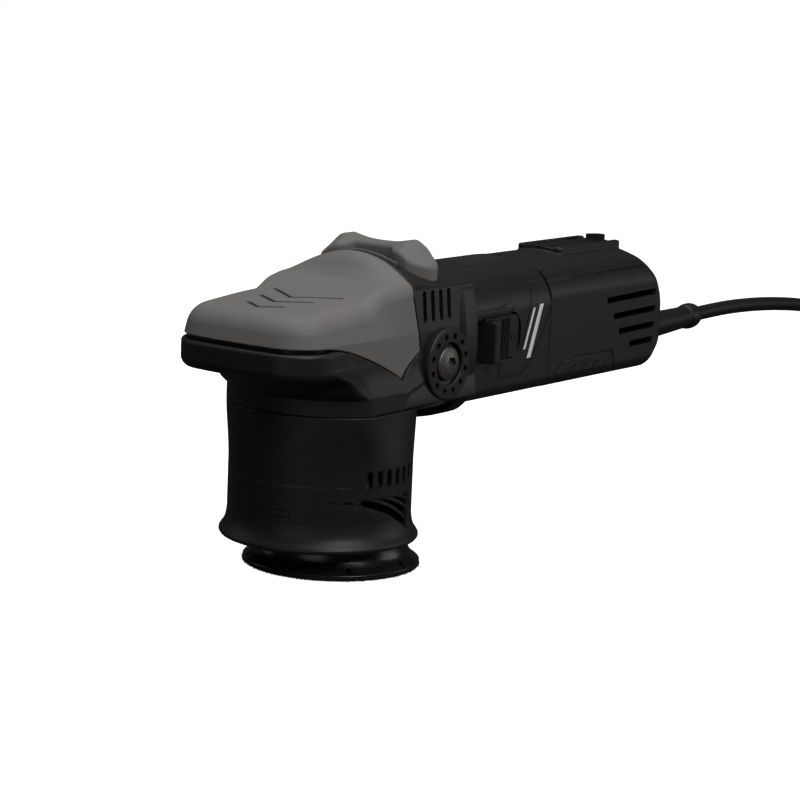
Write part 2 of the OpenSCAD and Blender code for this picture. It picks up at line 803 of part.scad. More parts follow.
module tail_inset() {
    color("#1d1d1d") translate([0, 205.8, 0]) rotate([90, 0, 0]) linear_extrude(47.6)
        polygon(concat([for (x = [-8.4 : 2.8 : 8.5]) [x, 122.9 - 0.012 * x * x]],
            [[8.4, 121.8], [-8.4, 121.8]]));
}

module strain_relief() {
    color("#262626") difference() {
        translate([0, relief_y, relief_z]) rotate([-90 + relief_tilt, 0, 0]) rotate_extrude()
            polygon(concat([[0, 0], [7.2, 0], [7.2, 2.5], [6.7, 3.4]],
                [for (k = [1 : 10]) each [[6.7 - 0.04 * k, 4 + 5.4 * k], [5.9 - 0.04 * k, 4.9 + 5.4 * k],
                    [5.9 - 0.04 * k, 6.3 + 5.4 * k], [6.7 - 0.04 * k, 7.2 + 5.4 * k]]],
                [[6.2, 62.2], [6.6, 62.8], [6.6, 65.2], [6.2, relief_l], [0, relief_l]]));
        cord_line(-1, relief_l + 1, 0.4);
    }
}

module cord_inner_end() {
    color("#1a1a1a") cord_line(-52, 0, cord_d / 2);
}

module cord_clamp() {
    color("#3a3a3a") difference() {
        box([-13, 202, 73.2], [13, 212, 79.4]);
        cord_line(-60, 0, cord_d / 2);
        both_sides() translate([9, 207, 60]) cylinder(h = 30, r = 1.5);
    }
    color("#3a3a3a") both_sides() translate([9, 207, 69]) ring_z(0, 4.2, 3.6, 1.5);
}

module cord_clamp_screws() {
    color("#3c3c3e") both_sides() translate([9, 207, 79.4]) rotate([180, 0, 0])
        cap_screw(1.3, 13, 2.6, 1.8, 1.2);
}

// ---- cord ----

// Unit vector, and the direction of a route at one of its points
function unit(v) = v / norm(v);
function heading(route, i) = unit(route[min(i + 1, len(route) - 1)] - route[max(i - 1, 0)]);

// A round tube swept along a route
module tube(route, r, n = 10) {
    skin([for (i = [0 : len(route) - 1])
        let (d = heading(route, i), side = unit(cross(d, [0, 0, 1])), up = cross(side, d))
        [for (k = [0 : n - 1]) route[i] + r * (side * cos(360 * k / n) - up * sin(360 * k / n))]]);
}

module cord() {
    color("#1a1a1a") {
        tube(cord_route, cord_d / 2);
        tube(tail_route, cord_d / 2);
    }
}

coil_half = coil_columns * (cord_d + 0.1) / 2;
coil_h = coil_layers * (cord_d + 0.05) + tie_t;

module cord_coil() {
    color("#1a1a1a") translate(coil_at) rotate_extrude()
        polygon([[coil_r - coil_half + 2, tie_t], [coil_r + coil_half - 2, tie_t],
            [coil_r + coil_half, tie_t + 2], [coil_r + coil_half, coil_h - 2],
            [coil_r + coil_half - 2, coil_h], [coil_r - coil_half + 2, coil_h],
            [coil_r - coil_half, coil_h - 2], [coil_r - coil_half, tie_t + 2]]);
}

module cord_tie() {
    color("#4a4a4c") translate(coil_at) rotate([0, 0, 20]) difference() {
        rotate_extrude(angle = 20)
            translate([coil_r - coil_half - tie_t, 0]) square([2 * (coil_half + tie_t), coil_h + tie_t]);
        rotate([0, 0, -1]) rotate_extrude(angle = 22)
            translate([coil_r - coil_half, tie_t]) square([2 * coil_half, coil_h - tie_t]);
    }
}

module plug_body() {
    color("#232323") translate(plug_at) rotate([90, 0, 0]) rotate_extrude()
        polygon([[0, 0], [5.2, 0], [6.2, 3], [6.8, 22], [14, 30], [17.5, 34], [18, 38], [18, 56],
            [17.2, 57.5], [0, 57.5]]);
}

module plug_pins() {
    color("#c9cbce") translate(plug_at) for (side = [-1, 1]) translate([side * pin_spacing / 2, -57.5, 0])
        rotate([90, 0, 0]) {
            cylinder(h = 18, r = 2.4);
            translate([0, 0, 18]) cylinder(h = 1, r1 = 2.4, r2 = 1.5);
        }
}

nose_cover();
head_shell();
top_grip();
gear_case();
gear_case_screws();
shroud();
shroud_screws();
side_boss_right();
side_boss_left();
boss_bolts();
motor_housing();
name_plate();
accent_plates();
rear_cover();
rear_cover_screws();
tail_inset();
strain_relief();
cord_inner_end();
cord_clamp();
cord_clamp_screws();
cord();
cord_coil();
cord_tie();
plug_body();
plug_pins();
stator_core();
field_coils();
fan_baffle();
brush_holders();
carbon_brushes();
brush_springs();
front_bearing();
rear_bearing();
upper_bearing();
lower_bearing();
bearing_retainer();
retainer_screws();
switch_block();
control_board();
capacitor();
dial_potentiometer();
armature_shaft();
armature_core();
armature_windings();
commutator();
motor_fan();
pinion();
spindle();
bevel_gear();
spindle_nut();
counterweight();
counterweight_screws();
eccentric_bearings();
pad_arbor();
backing_plate();
hook_face();
pad_bolt();
switch_slider();
switch_rod();
speed_dial();
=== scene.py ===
import json
import math

import bpy
import numpy as np
from mathutils import Matrix, Vector


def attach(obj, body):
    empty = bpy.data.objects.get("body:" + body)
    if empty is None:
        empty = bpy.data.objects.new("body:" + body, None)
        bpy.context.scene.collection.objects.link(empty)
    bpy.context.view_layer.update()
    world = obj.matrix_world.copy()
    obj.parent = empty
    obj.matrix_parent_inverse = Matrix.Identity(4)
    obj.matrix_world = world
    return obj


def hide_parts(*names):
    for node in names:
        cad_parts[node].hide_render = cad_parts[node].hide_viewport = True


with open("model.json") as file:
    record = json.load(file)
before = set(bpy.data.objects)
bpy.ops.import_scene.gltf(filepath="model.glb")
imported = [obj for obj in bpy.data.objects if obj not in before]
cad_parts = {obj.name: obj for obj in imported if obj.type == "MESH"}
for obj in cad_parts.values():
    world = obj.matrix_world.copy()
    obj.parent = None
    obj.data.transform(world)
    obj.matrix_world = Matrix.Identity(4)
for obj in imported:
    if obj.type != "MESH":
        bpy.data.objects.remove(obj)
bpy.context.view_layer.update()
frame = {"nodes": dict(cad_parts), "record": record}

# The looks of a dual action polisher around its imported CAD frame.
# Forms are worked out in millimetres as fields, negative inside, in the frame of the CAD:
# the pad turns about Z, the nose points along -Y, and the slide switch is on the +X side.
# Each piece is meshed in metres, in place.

MM = 0.001

# ---- measures, in millimetres ----

HEAD_W = 35.2              # half width of the head
NOSE_Y = -60.2             # front of the nose
NOSE_R = 15.0              # rounding of the nose, seen from above
BODY_W = 30.0              # half width of the motor housing
MOTOR_Z = 92.0             # height of the motor's axis
BAND_Y = (46.0, 57.0)      # the flange band between the head and the motor housing
GEAR_BOLT = (22.5, 23.5)   # from the motor's axis to the gear case screws, across and up
CAP_Y = 124.6              # seam between the motor housing and the rear cover
SEAM_Z = 69.5              # seam between the neck and the head
BOSS_Y, BOSS_Z = 36, 85.5  # middle of the side bosses
ORBIT = (3.44, 4.91)       # the pad's axis at rest, in x and y
WALL = 3.0                 # thickness of the head's mouldings
GAP = 0.25                 # half the width of a seam
CORD_D = 7.3               # thickness of the cord

# ---- field helpers ----


def rmax(a, b, r):
    """Both a and b, with a round edge of radius r"""
    return np.hypot(np.maximum(a + r, 0), np.maximum(b + r, 0)) + np.minimum(np.maximum(a, b), -r)


def rmin(a, b, r):
    """a or b, with a round inner corner of radius r"""
    return -rmax(-a, -b, r)


def either(*fields):
    out = fields[0]
    for field in fields[1:]:
        out = np.minimum(out, field)
    return out


def without(a, *cuts):
    for cut in cuts:
        a = np.maximum(a, -cut)
    return a


def between(v, low, high):
    return np.maximum(low - v, v - high)


def ease(t):
    """0 below 0, 1 above 1, smooth between"""
    t = np.clip(t, 0, 1)
    return t * t * (3 - 2 * t)


def curve(t, knots):
    """A smooth curve through (t, value) knots, level at its ends, with no overshoot"""
    ts, vs = (np.array(c, float) for c in zip(*knots))
    slope = np.diff(vs) / np.diff(ts)
    m = np.zeros(len(ts))
    for k in range(1, len(ts) - 1):
        a, b = slope[k - 1], slope[k]
        m[k] = 0 if a * b <= 0 else 2 * a * b / (a + b)
    m[0], m[-1] = slope[0], slope[-1]
    t = np.clip(t, ts[0], ts[-1])
    k = np.clip(np.searchsorted(ts, t, side="right") - 1, 0, len(ts) - 2)
    h = ts[k + 1] - ts[k]
    u = (t - ts[k]) / h
    return ((1 + 2 * u) * (1 - u) ** 2 * vs[k] + u * (1 - u) ** 2 * h * m[k]
            + u * u * (3 - 2 * u) * vs[k + 1] - u * u * (1 - u) * h * m[k + 1])


def rect(u, v, hu, hv, r=0.0):
    """Distance to a rectangle of half sizes hu, hv with corners of radius r"""
    qu, qv = np.abs(u) - hu + r, np.abs(v) - hv + r
    return np.hypot(np.maximum(qu, 0), np.maximum(qv, 0)) + np.minimum(np.maximum(qu, qv), 0) - r


def off_stretch(u, v, start, end):
    """The way to (u, v) from the nearest point of the straight stretch between two points"""
    eu, ev = end[0] - start[0], end[1] - start[1]
    t = np.clip(((u - start[0]) * eu + (v - start[1]) * ev) / (eu * eu + ev * ev), 0, 1)
    return u - start[0] - t * eu, v - start[1] - t * ev


def outline(u, v, points):
    """Distance to a closed outline of points in the plane"""
    best = np.full(np.broadcast(u, v).shape, 1e9)
    inside = np.zeros(best.shape, bool)
    for start, end in zip(points, points[1:] + points[:1]):
        off_u, off_v = off_stretch(u, v, start, end)
        best = np.minimum(best, off_u ** 2 + off_v ** 2)
        (au, av), (bu, bv) = start, end
        if av != bv:
            inside ^= ((v >= av) != (v >= bv)) & (u < au + (v - av) * (bu - au) / (bv - av))
    return np.where(inside, -1, 1) * np.sqrt(best)


def line(u, v, points, r):
    """Distance to a line of radius r through points in the plane"""
    best = 1e9
    for start, end in zip(points, points[1:]):
        best = np.minimum(best, np.hypot(*off_stretch(u, v, start, end)))
    return best - r


# ---- from a field to a mesh ----

SLAB = 6        # layers of the grid worked out at a time
PULL = 0.04     # how strongly a point is held to the middle of its crossings
INSIDE = 0.16   # how far inside a face, in mm, its shading is read from the field
ALIKE = 0.75    # least cosine between a face's own direction and the field's


def gradient(field, p, h=0.04):
    g = np.empty_like(p)
    for a in range(3):
        lo, hi = p.copy(), p.copy()
        lo[:, a] -= h
        hi[:, a] += h
        g[:, a] = field(hi[:, 0], hi[:, 1], hi[:, 2]) - field(lo[:, 0], lo[:, 1], lo[:, 2])
    return g / np.maximum(np.linalg.norm(g, axis=1, keepdims=True), 1e-9)


def dual_contour(field, low, high, step):
    """Points and triangles of the surface where field is 0, with its sharp edges kept"""
    n = [int(math.ceil((b - a) / step)) + 1 for a, b in zip(low, high)]
    axes = [a + step * np.arange(k, dtype=np.float32) for a, k in zip(low, n)]
    f = np.empty(n, np.float32)
    for i in range(0, n[0], SLAB):
        xs = axes[0][i:i + SLAB, None, None]
        f[i:i + SLAB] = field(xs, axes[1][None, :, None], axes[2][None, None, :])
    f[f == 0] = 1e-6
    low = np.array(low, float)
    strides = np.array([n[1] * n[2], n[2], 1])
    crossings = []
    for a in range(3):
        first = [slice(None)] * 3
        second = [slice(None)] * 3
        first[a], second[a] = slice(0, -1), slice(1, None)
        f0, f1 = f[tuple(first)], f[tuple(second)]
        at = np.argwhere((f0 < 0) != (f1 < 0))
        v0, v1 = f0[tuple(at.T)].astype(float), f1[tuple(at.T)].astype(float)
        t = v0 / (v0 - v1)
        p = low + step * at
        p[:, a] += step * t
        v = field(p[:, 0], p[:, 1], p[:, 2])
        same = (v < 0) == (v0 < 0)
        t = np.where(same, t + (1 - t) * v / np.where(same, v - v1, 1), t * v0 / np.where(same, 1, v0 - v))
        p[:, a] = low[a] + step * (at[:, a] + t)
        others = [(a + 1) % 3, (a + 2) % 3]
        cells = []
        for db, dc in ((1, 1), (0, 1), (0, 0), (1, 0)):
            cell = at.copy()
            cell[:, others[0]] -= db
            cell[:, others[1]] -= dc
            cells.append(cell @ strides)
        crossings.append((p, np.stack(cells, 1), v0 < 0))
    p = np.concatenate([c[0] for c in crossings])
    cells = np.concatenate([c[1] for c in crossings])
    solid_first = np.concatenate([c[2] for c in crossings])
    normal = gradient(field, p)
    ids, vertex = np.unique(cells.ravel(), return_inverse=True)
    vertex = vertex.reshape(-1)
    point_of = np.repeat(np.arange(len(p)), 4)
    count = np.bincount(vertex)

    def total(values):
        return np.bincount(vertex, weights=values[point_of])

    centre = np.stack([total(p[:, k]) / count for k in range(3)], 1)
    nd = (normal * p).sum(1)
    a = np.empty((len(ids), 3, 3))
    b = np.empty((len(ids), 3))
    for j in range(3):
        b[:, j] = total(normal[:, j] * nd)
        for k in range(j, 3):
            a[:, j, k] = a[:, k, j] = total(normal[:, j] * normal[:, k])
    b -= np.einsum("nij,nj->ni", a, centre)
    a += PULL * count[:, None, None] * np.eye(3)
    points = centre + np.linalg.solve(a, b[:, :, None])[:, :, 0]
    corner = low + step * np.stack([ids // strides[0], ids // strides[1] % n[1], ids % n[2]], 1)
    points = np.clip(points, corner + 0.02 * step, corner + 0.98 * step)
    quads = vertex.reshape(-1, 4)
    quads = np.where(solid_first[:, None], quads, quads[:, ::-1])
    one, two = (np.linalg.norm(points[quads[:, k]] - points[quads[:, k + 2]], axis=1) for k in (0, 1))
    quads = np.where((one <= two)[:, None], quads, np.roll(quads, -1, axis=1))
    return points, np.concatenate([quads[:, [0, 1, 2]], quads[:, [0, 2, 3]]])


def put_mesh(mesh, points, faces):
    sides = faces.shape[1]
    mesh.vertices.add(len(points))
    mesh.vertices.foreach_set("co", np.asarray(points, np.float32).ravel())
    mesh.loops.add(faces.size)
    mesh.loops.foreach_set("vertex_index", faces.astype(np.int32).ravel())
    mesh.polygons.add(len(faces))
    mesh.polygons.foreach_set("loop_start", np.arange(0, faces.size, sides, dtype=np.int32))
    mesh.polygons.foreach_set("loop_total", np.full(len(faces), sides, np.int32))
    mesh.update(calc_edges=True)
    mesh.validate()


def exact_normals(mesh, field):
    """Shade each corner with the field's own direction, just inside its face"""
    n = len(mesh.vertices)
    co = np.empty(n * 3)
    mesh.vertices.foreach_get("co", co)
    co = co.reshape(-1, 3) / MM
    loops = len(mesh.loops)
    corner = np.empty(loops, np.int32)
    mesh.loops.foreach_get("vertex_index", corner)
    faces = corner.reshape(-1, 3)
    middle = np.repeat(co[faces].mean(1), 3, axis=0)
    p = co[corner]
    way = middle - p
    length = np.maximum(np.linalg.norm(way, axis=1, keepdims=True), 1e-6)
    p = p + way * np.minimum(INSIDE / length, 0.5)
    g = gradient(field, p)
    a, b, c = (co[faces[:, k]] for k in range(3))
    flat = np.cross(b - a, c - a)
    flat = np.repeat(flat / np.maximum(np.linalg.norm(flat, axis=1, keepdims=True), 1e-12), 3, axis=0)
    bad = (g * flat).sum(1) < ALIKE
    g[bad] = flat[bad]
    mesh.shade_smooth()
    mesh.normals_split_custom_set(g.tolist())


def solid(name, field, low, high, step, keep=0.3):
    """A mesh object from a field in a box, thinned to the share keep of its faces"""
    margin = 1.5 * step
    points, triangles = dual_contour(field, [v - margin for v in low], [v + margin for v in high], step)
    mesh = bpy.data.meshes.new(name)
    put_mesh(mesh, points * MM, triangles)
    piece = bpy.data.objects.new(name, mesh)
    bpy.context.scene.collection.objects.link(piece)
    thin = piece.modifiers.new("thin", "DECIMATE")
    thin.ratio = keep
    bpy.context.view_layer.update()
    thinned = bpy.data.meshes.new_from_object(piece.evaluated_get(bpy.context.evaluated_depsgraph_get()))
    piece.modifiers.clear()
    piece.data = thinned
    bpy.data.meshes.remove(mesh)
    thinned.name = name
    exact_normals(thinned, field)
    return piece


def dress(piece, body, slot_name, look, *nodes):
    piece.data.materials.clear()
    piece.data.materials.append(look)
    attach(piece, body)
    if nodes:
        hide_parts(*nodes)
    return piece


# ---- materials ----


def node(tree, kind, **values):
    new = tree.nodes.new("ShaderNode" + kind)
    for key, value in values.items():
        if hasattr(new, key):
            setattr(new, key, value)
        else:
            new.inputs[key.replace("_", " ")].default_value = value
    return new


def rgba(colour):
    return (*colour, 1.0)


def look(name, colour, rough, metal=0.0, specular=0.5, grain=0.0, grain_size=0.4, mottle=0.08,
         mottle_size=9.0, wear=0.0, coat=0.0, sheen=0.0, streak=None):
    """A surface finish: colour, gloss, a fine grain of grain_size mm and a soft unevenness"""
    material = bpy.data.materials.new(name)
    material.use_nodes = True
    tree = material.node_tree
    shader = tree.nodes["Principled BSDF"]
    shader.inputs["Metallic"].default_value = metal
    shader.inputs["Specular IOR Level"].default_value = specular
    shader.inputs["Coat Weight"].default_value = coat
    shader.inputs["Coat Roughness"].default_value = 0.12
    shader.inputs["Sheen Weight"].default_value = sheen
    shader.inputs["Sheen Roughness"].default_value = 0.5
    place = node(tree, "TexCoord")
    stretch = node(tree, "Mapping")
    if streak:
        stretch.inputs["Scale"].default_value = streak
    tree.links.new(place.outputs["Object"], stretch.inputs["Vector"])
    patches = node(tree, "TexNoise", Scale=1000 / mottle_size, Detail=5.0, Roughness=0.6)
    fine = node(tree, "TexNoise", Scale=1000 / grain_size, Detail=3.0, Roughness=0.55)
    for texture in (patches, fine):
        tree.links.new(stretch.outputs["Vector"], texture.inputs["Vector"])
    tone = node(tree, "ValToRGB")
    tone.color_ramp.elements[0].position = 0.3
    tone.color_ramp.elements[1].position = 0.7
    tone.color_ramp.elements[0].color = rgba([c * (1 - mottle) for c in colour])
    tone.color_ramp.elements[1].color = rgba([min(c * (1 + mottle), 1) for c in colour])
    tree.links.new(patches.outputs["Fac"], tone.inputs["Fac"])
    paint = tone.outputs["Color"]
    if wear:
        shape = node(tree, "NewGeometry")
        edge = node(tree, "MapRange")
        edge.inputs["From Min"].default_value = 0.52
        edge.inputs["From Max"].default_value = 0.6
        edge.inputs["To Max"].default_value = wear
        tree.links.new(shape.outputs["Pointiness"], edge.inputs["Value"])
        worn = node(tree, "MixRGB")
        worn.inputs["Color2"].default_value = rgba([min(c * 2.2 + 0.02, 1) for c in colour])
        tree.links.new(edge.outputs["Result"], worn.inputs["Fac"])
        tree.links.new(paint, worn.inputs["Color1"])
        paint = worn.outputs["Color"]
    tree.links.new(paint, shader.inputs["Base Color"])
    gloss = node(tree, "MapRange")
    gloss.inputs["To Min"].default_value = max(rough - 0.06, 0.02)
    gloss.inputs["To Max"].default_value = min(rough + 0.06, 1)
    tree.links.new(fine.outputs["Fac"], gloss.inputs["Value"])
    tree.links.new(gloss.outputs["Result"], shader.inputs["Roughness"])
    if grain:
        bump = node(tree, "Bump", Strength=grain)
        bump.inputs["Distance"].default_value = 0.05 * MM
        tree.links.new(fine.outputs["Fac"], bump.inputs["Height"])
        tree.links.new(bump.outputs["Normal"], shader.inputs["Normal"])
    return material


LOOKS = {
    "soft_grey_rubber": dict(colour=(0.147, 0.140, 0.136), rough=0.62, specular=0.3, grain=0.25,
                             grain_size=0.25, mottle=0.03, sheen=0.05),
    "black_plastic": dict(colour=(0.0095, 0.0095, 0.0096), rough=0.45, specular=0.36, grain=0.5,
                          grain_size=0.35, mottle=0.1, wear=0.25),
    "label_plastic": dict(colour=(0.02, 0.02, 0.0205), rough=0.36, specular=0.4, grain=0.2),
    "light_plate": dict(colour=(0.8, 0.8, 0.79), rough=0.35, grain=0.1, mottle=0.02),
    "gloss_black": dict(colour=(0.006, 0.006, 0.0065), rough=0.28, specular=0.45, grain=0.05),
    "hook_fabric": dict(colour=(0.012, 0.012, 0.012), rough=0.9, specular=0.15, mottle=0.3, mottle_size=1.2),
    "cast_aluminium": dict(colour=(0.6, 0.605, 0.615), rough=0.45, metal=0.5, grain=0.8, grain_size=0.9,
                           mottle=0.12, mottle_size=3),
    "machined_steel": dict(colour=(0.48, 0.48, 0.49), rough=0.25, metal=1, grain=0.3, grain_size=0.3,
                           streak=(1, 1, 14)),
    "gear_steel": dict(colour=(0.33, 0.33, 0.345), rough=0.3, metal=1, grain=0.3, mottle=0.2),
    "bearing_steel": dict(colour=(0.56, 0.565, 0.58), rough=0.16, metal=1, grain=0.1),
    "dark_bolts": dict(colour=(0.13, 0.123, 0.12), rough=0.42, metal=0.7, grain=0.4, grain_size=0.5,
                       mottle=0.3, mottle_size=1.5, wear=0.5),
    "laminated_steel": dict(colour=(0.2, 0.2, 0.21), rough=0.45, metal=1, grain=0.6, streak=(1, 30, 1)),
    "copper_wire": dict(colour=(0.55, 0.23, 0.11), rough=0.34, metal=1, coat=0.5, grain=0.8,
                        streak=(12, 1, 1), mottle=0.25, mottle_size=0.8),
    "copper_bars": dict(colour=(0.62, 0.31, 0.18), rough=0.28, metal=1, grain=0.4,
                        mottle=0.25, mottle_size=1),
    "brass_parts": dict(colour=(0.62, 0.45, 0.2), rough=0.3, metal=1, grain=0.3),
    "carbon": dict(colour=(0.03, 0.03, 0.032), rough=0.6, grain=0.5, mottle=0.3, mottle_size=0.7),
    "spring_steel": dict(colour=(0.4, 0.4, 0.42), rough=0.24, metal=1, grain=0.2),
    "cord_rubber": dict(colour=(0.0095, 0.0095, 0.0098), rough=0.46, specular=0.35,
                        grain=0.35, grain_size=0.6, mottle=0.15),
    "tie_fabric": dict(colour=(0.03, 0.03, 0.032), rough=0.85, specular=0.15, grain=1.0, grain_size=0.5,
                       mottle=0.35, mottle_size=0.9, sheen=0.2),
    "plated_pins": dict(colour=(0.62, 0.62, 0.61), rough=0.2, metal=1, grain=0.15),
    "switch_plastic": dict(colour=(0.011, 0.011, 0.0115), rough=0.42, specular=0.35, grain=0.35),
    "dial_plastic": dict(colour=(0.02, 0.02, 0.0205), rough=0.4, specular=0.4, grain=0.3),
    "board_green": dict(colour=(0.01, 0.07, 0.03), rough=0.35, mottle=0.35, mottle_size=2.5, coat=0.3),
    "capacitor_film": dict(colour=(0.35, 0.2, 0.03), rough=0.25, coat=0.3, mottle=0.15),
}
looks = {name: look(name, **values) for name, values in LOOKS.items()}

# ---- camera, light and floor ----


def place_camera():
    turn, lift, roll = (math.radians(v) for v in (36.1788, 10.3475, 2.4331))
    back = Vector((math.sin(turn) * math.cos(lift), -math.cos(turn) * math.cos(lift), math.sin(lift)))
    level = Vector((math.cos(turn), math.sin(turn), 0))
    upright = back.cross(level)
    right = level * math.cos(roll) + upright * math.sin(roll)
    top = upright * math.cos(roll) - level * math.sin(roll)
    data = bpy.data.cameras.new("camera")
    data.lens = 115.1
    data.sensor_width = 36.0
    data.clip_end = 100
    camera = bpy.data.objects.new("camera", data)
    place = Matrix((right, top, back)).transposed().to_4x4()
    place.translation = Vector((0.64476, -0.82733, 0.26200))
    camera.matrix_world = place
    bpy.context.scene.collection.objects.link(camera)
    bpy.context.scene.camera = camera


def soft_light(name, at, aim, size, power):
    data = bpy.data.lights.new(name, "AREA")
    data.shape = "RECTANGLE"
    data.size, data.size_y = size
    data.energy = power
    lamp = bpy.data.objects.new(name, data)
    lamp.location = at
    lamp.rotation_euler = (Vector(at) - Vector(aim)).to_track_quat("Z", "Y").to_euler()
    bpy.context.scene.collection.objects.link(lamp)


def studio():
    scene = bpy.context.scene
    scene.view_settings.view_transform = "Standard"
    world = bpy.data.worlds.new("studio")
    world.use_nodes = True
    world.node_tree.nodes["Background"].inputs["Color"].default_value = (0.9, 0.9, 0.9, 1)
    world.node_tree.nodes["Background"].inputs["Strength"].default_value = 0.035
    scene.world = world
    middle = (0, 0.06, 0.08)
    soft_light("top_light", (0.0, 0.05, 1.3), middle, (1.3, 1.3), 13)
    soft_light("key_light", (1.0, -0.3, 0.95), middle, (0.6, 0.6), 8)
    soft_light("front_light", (0.3, -1.4, 0.25), middle, (0.8, 0.5), 1.3)
    soft_light("side_light", (1.15, 1.15, 0.3), middle, (0.9, 0.6), 2.6)
    soft_light("left_light", (-1.3, -0.5, 0.6), middle, (0.4, 0.8), 0.8)
    bpy.ops.mesh.primitive_plane_add(size=60)
    floor = bpy.context.object
    floor.name = "floor"
    paper = bpy.data.materials.new("paper")
    paper.use_nodes = True
    shader = paper.node_tree.nodes["Principled BSDF"]
    shader.inputs["Base Color"].default_value = (0.8, 0.8, 0.8, 1)
    shader.inputs["Roughness"].default_value = 0.9
    shader.inputs["Specular IOR Level"].default_value = 0.1
    shader.inputs["Emission Color"].default_value = (1, 1, 1, 1)
    shader.inputs["Emission Strength"].default_value = 0.97
    floor.data.materials.append(paper)
    floor.visible_glossy = False
    floor.visible_diffuse = False


place_camera()
studio()

# ---- the cord ----

# The free part, from the strain relief down to the coil, and from the coil to the plug, as in the CAD
CORD_ROUTE = [(0, 304, 76.5), (0, 320, 76.9), (0, 340, 77), (0, 360, 76.4), (0, 380, 75.2),
              (0, 400, 73.4), (0, 420, 71), (-1, 440, 67.5), (-3, 460, 62.5), (-6.5, 480, 55.5),
              (-11, 498, 46.5), (-16, 514, 36), (-21.5, 530, 25.5), (-27, 546, 16.5), (-32, 562, 10),
              (-35.5, 578, 6.4), (-37.7, 592, 5)]
TAIL_ROUTE = [(66, 592, 26.7), (65.5, 580, 26.2), (63.5, 566, 24.4), (60, 552, 21.8), (56, 539, 19.4),
              (53, 528, 18.2), (52, 518, 18)]
COIL_AT = (14.0, 600.0)
COIL_MIDDLE = 41.0     # radius at the middle of the turns
COIL_R = 52.1          # radius of the outermost turn
COIL_PITCH = 7.4
COIL_LAYERS = 4
COIL_TURNS = 13        # whole turns, besides the part of a turn that leads to the plug
POINTS_A_TURN = 24
TIE_T = 1.0            # thickness of the tie under the coil
PLUG_AT = (52.0, 518.0, 18.0)


def coil_point(turns, start_angle):
    """Wound clockwise: three steps inwards, one step up, three outwards, one up, and so on"""
    t = turns + 0.1
    column = layer = 0.0
    for k in range(COIL_LAYERS):
        for step in range(3):
            column += (-1) ** k * ease((t - 3.5 * k - 0.75 - step) / 0.25)
        if k:
            layer += ease((t - 3.5 * k) / 0.25)
    r = COIL_R - COIL_PITCH * column
    angle = start_angle - 2 * math.pi * turns
    return (COIL_AT[0] + r * math.cos(angle), COIL_AT[1] + r * math.sin(angle),
            TIE_T + (CORD_D + 0.05) * (layer + 0.5))


def cord_path():
    start = math.atan2(CORD_ROUTE[-1][1] - COIL_AT[1], CORD_ROUTE[-1][0] - COIL_AT[0]) + 2 * math.pi
    end = math.atan2(TAIL_ROUTE[0][1] - COIL_AT[1], TAIL_ROUTE[0][0] - COIL_AT[0])
    turns = COIL_TURNS + (start - end) / (2 * math.pi)
    count = int(turns * POINTS_A_TURN)
    coil = [coil_point(turns * k / count, start) for k in range(1, count)]
    return CORD_ROUTE + coil + TAIL_ROUTE


def make_cord():
    points = cord_path()
    data = bpy.data.curves.new("mains_cord", "CURVE")
    data.dimensions = "3D"
    data.bevel_depth = CORD_D / 2 * MM
    data.bevel_resolution = 5
    data.resolution_u = 4
    data.use_fill_caps = True
    spline = data.splines.new("BEZIER")
    spline.bezier_points.add(len(points) - 1)
    for knot, p in zip(spline.bezier_points, points):
        knot.co = [v * MM for v in p]
        knot.handle_left_type = knot.handle_right_type = "AUTO"
    piece = bpy.data.objects.new("mains_cord", data)
    bpy.context.scene.collection.objects.link(piece)
    length = sum(math.dist(a, b) for a, b in zip(points, points[1:])) * MM
    return dress(piece, "root", "cord_rubber", looks["cord_rubber"], "cord", "cord_coil"), length


cord, cord_length = make_cord()


# ---- the head ----


def head_plan(x, y):
    """Distance, seen from above, to the head's straight sides and bowed nose"""
    front = NOSE_Y + 3.0 * (x / HEAD_W) ** 2
    qx, qy = np.abs(x) - HEAD_W + NOSE_R, front + NOSE_R - y
    return np.hypot(np.maximum(qx, 0), np.maximum(qy, 0)) + np.minimum(np.maximum(qx, qy), 0) - NOSE_R


def roof(x, y):
    """Height of the arched roof behind the hump's crest"""
    crown = curve(y, [(16, 130.8), (21, 130.2), (30, 126.2), (46, 124.4)])
    power = 1.9 + 0.5 * ease((y - 16) / 30)
    return 117.9 + (crown - 117.9) * (1 - (np.abs(x) / 33.8) ** power)


def head_top(x, y):
    """Height of the deck, of the hump that rises behind it, and of the roof"""
    deck = curve(y, [(-62, 111.4), (-50, 112.2), (-35, 113.7), (-20, 115), (-8, 115.6)]) - (x / 30) ** 2
    side = (x / 30) ** 2
    step = 4.6 * ease((y + 13) / 12) * (0.35 + 0.65 * np.minimum(side, 1))
    steep = curve(y, [(-14, 0), (-5, 0.04), (3, 0.2), (8, 0.5), (12, 0.82), (15.5, 0.98), (18, 1)])
    gentle = curve(y, [(-12, 0), (-3, 0.07), (8, 0.62), (15, 0.97), (18, 1)])
    climb = steep + (gentle - steep) * np.minimum(side, 1)
    return deck + step + (roof(x, np.maximum(y, 16)) - deck - step) * climb


def head_form(x, y, z):
    """The head's outer form above the bumper"""
    edge = curve(y, [(-60, 6.2), (-20, 6.4), (0, 5), (14, 2.4), (20, 1.6), (46, 1.2)])
    above = np.maximum(z - 100, 0)
    wall = head_plan(x, y) + 0.15 * above * ease((10 - y) / 20) + 0.1 * above
    return rmax(wall, 0.93 * (z - head_top(x, y)), edge)


# Side outline, in y and z, of what the grey cover takes of the head
COVER_SIDE = [(-70, 99.6), (-43, 99.2), (-36, 98.2), (-29, 96.7), (-22, 94.4), (-16, 92.3), (-9, 89.5),
              (-3, 86.8), (2, 84.3), (6.5, 81.9), (9, 85), (12, 87.6), (19, 92.6), (14.9, 115), (15.8, 118),
              (16.4, 121.5), (18.6, 128), (18.8, 140), (-70, 140)]


def cover_side(y, z):
    return outline(y, z, COVER_SIDE)


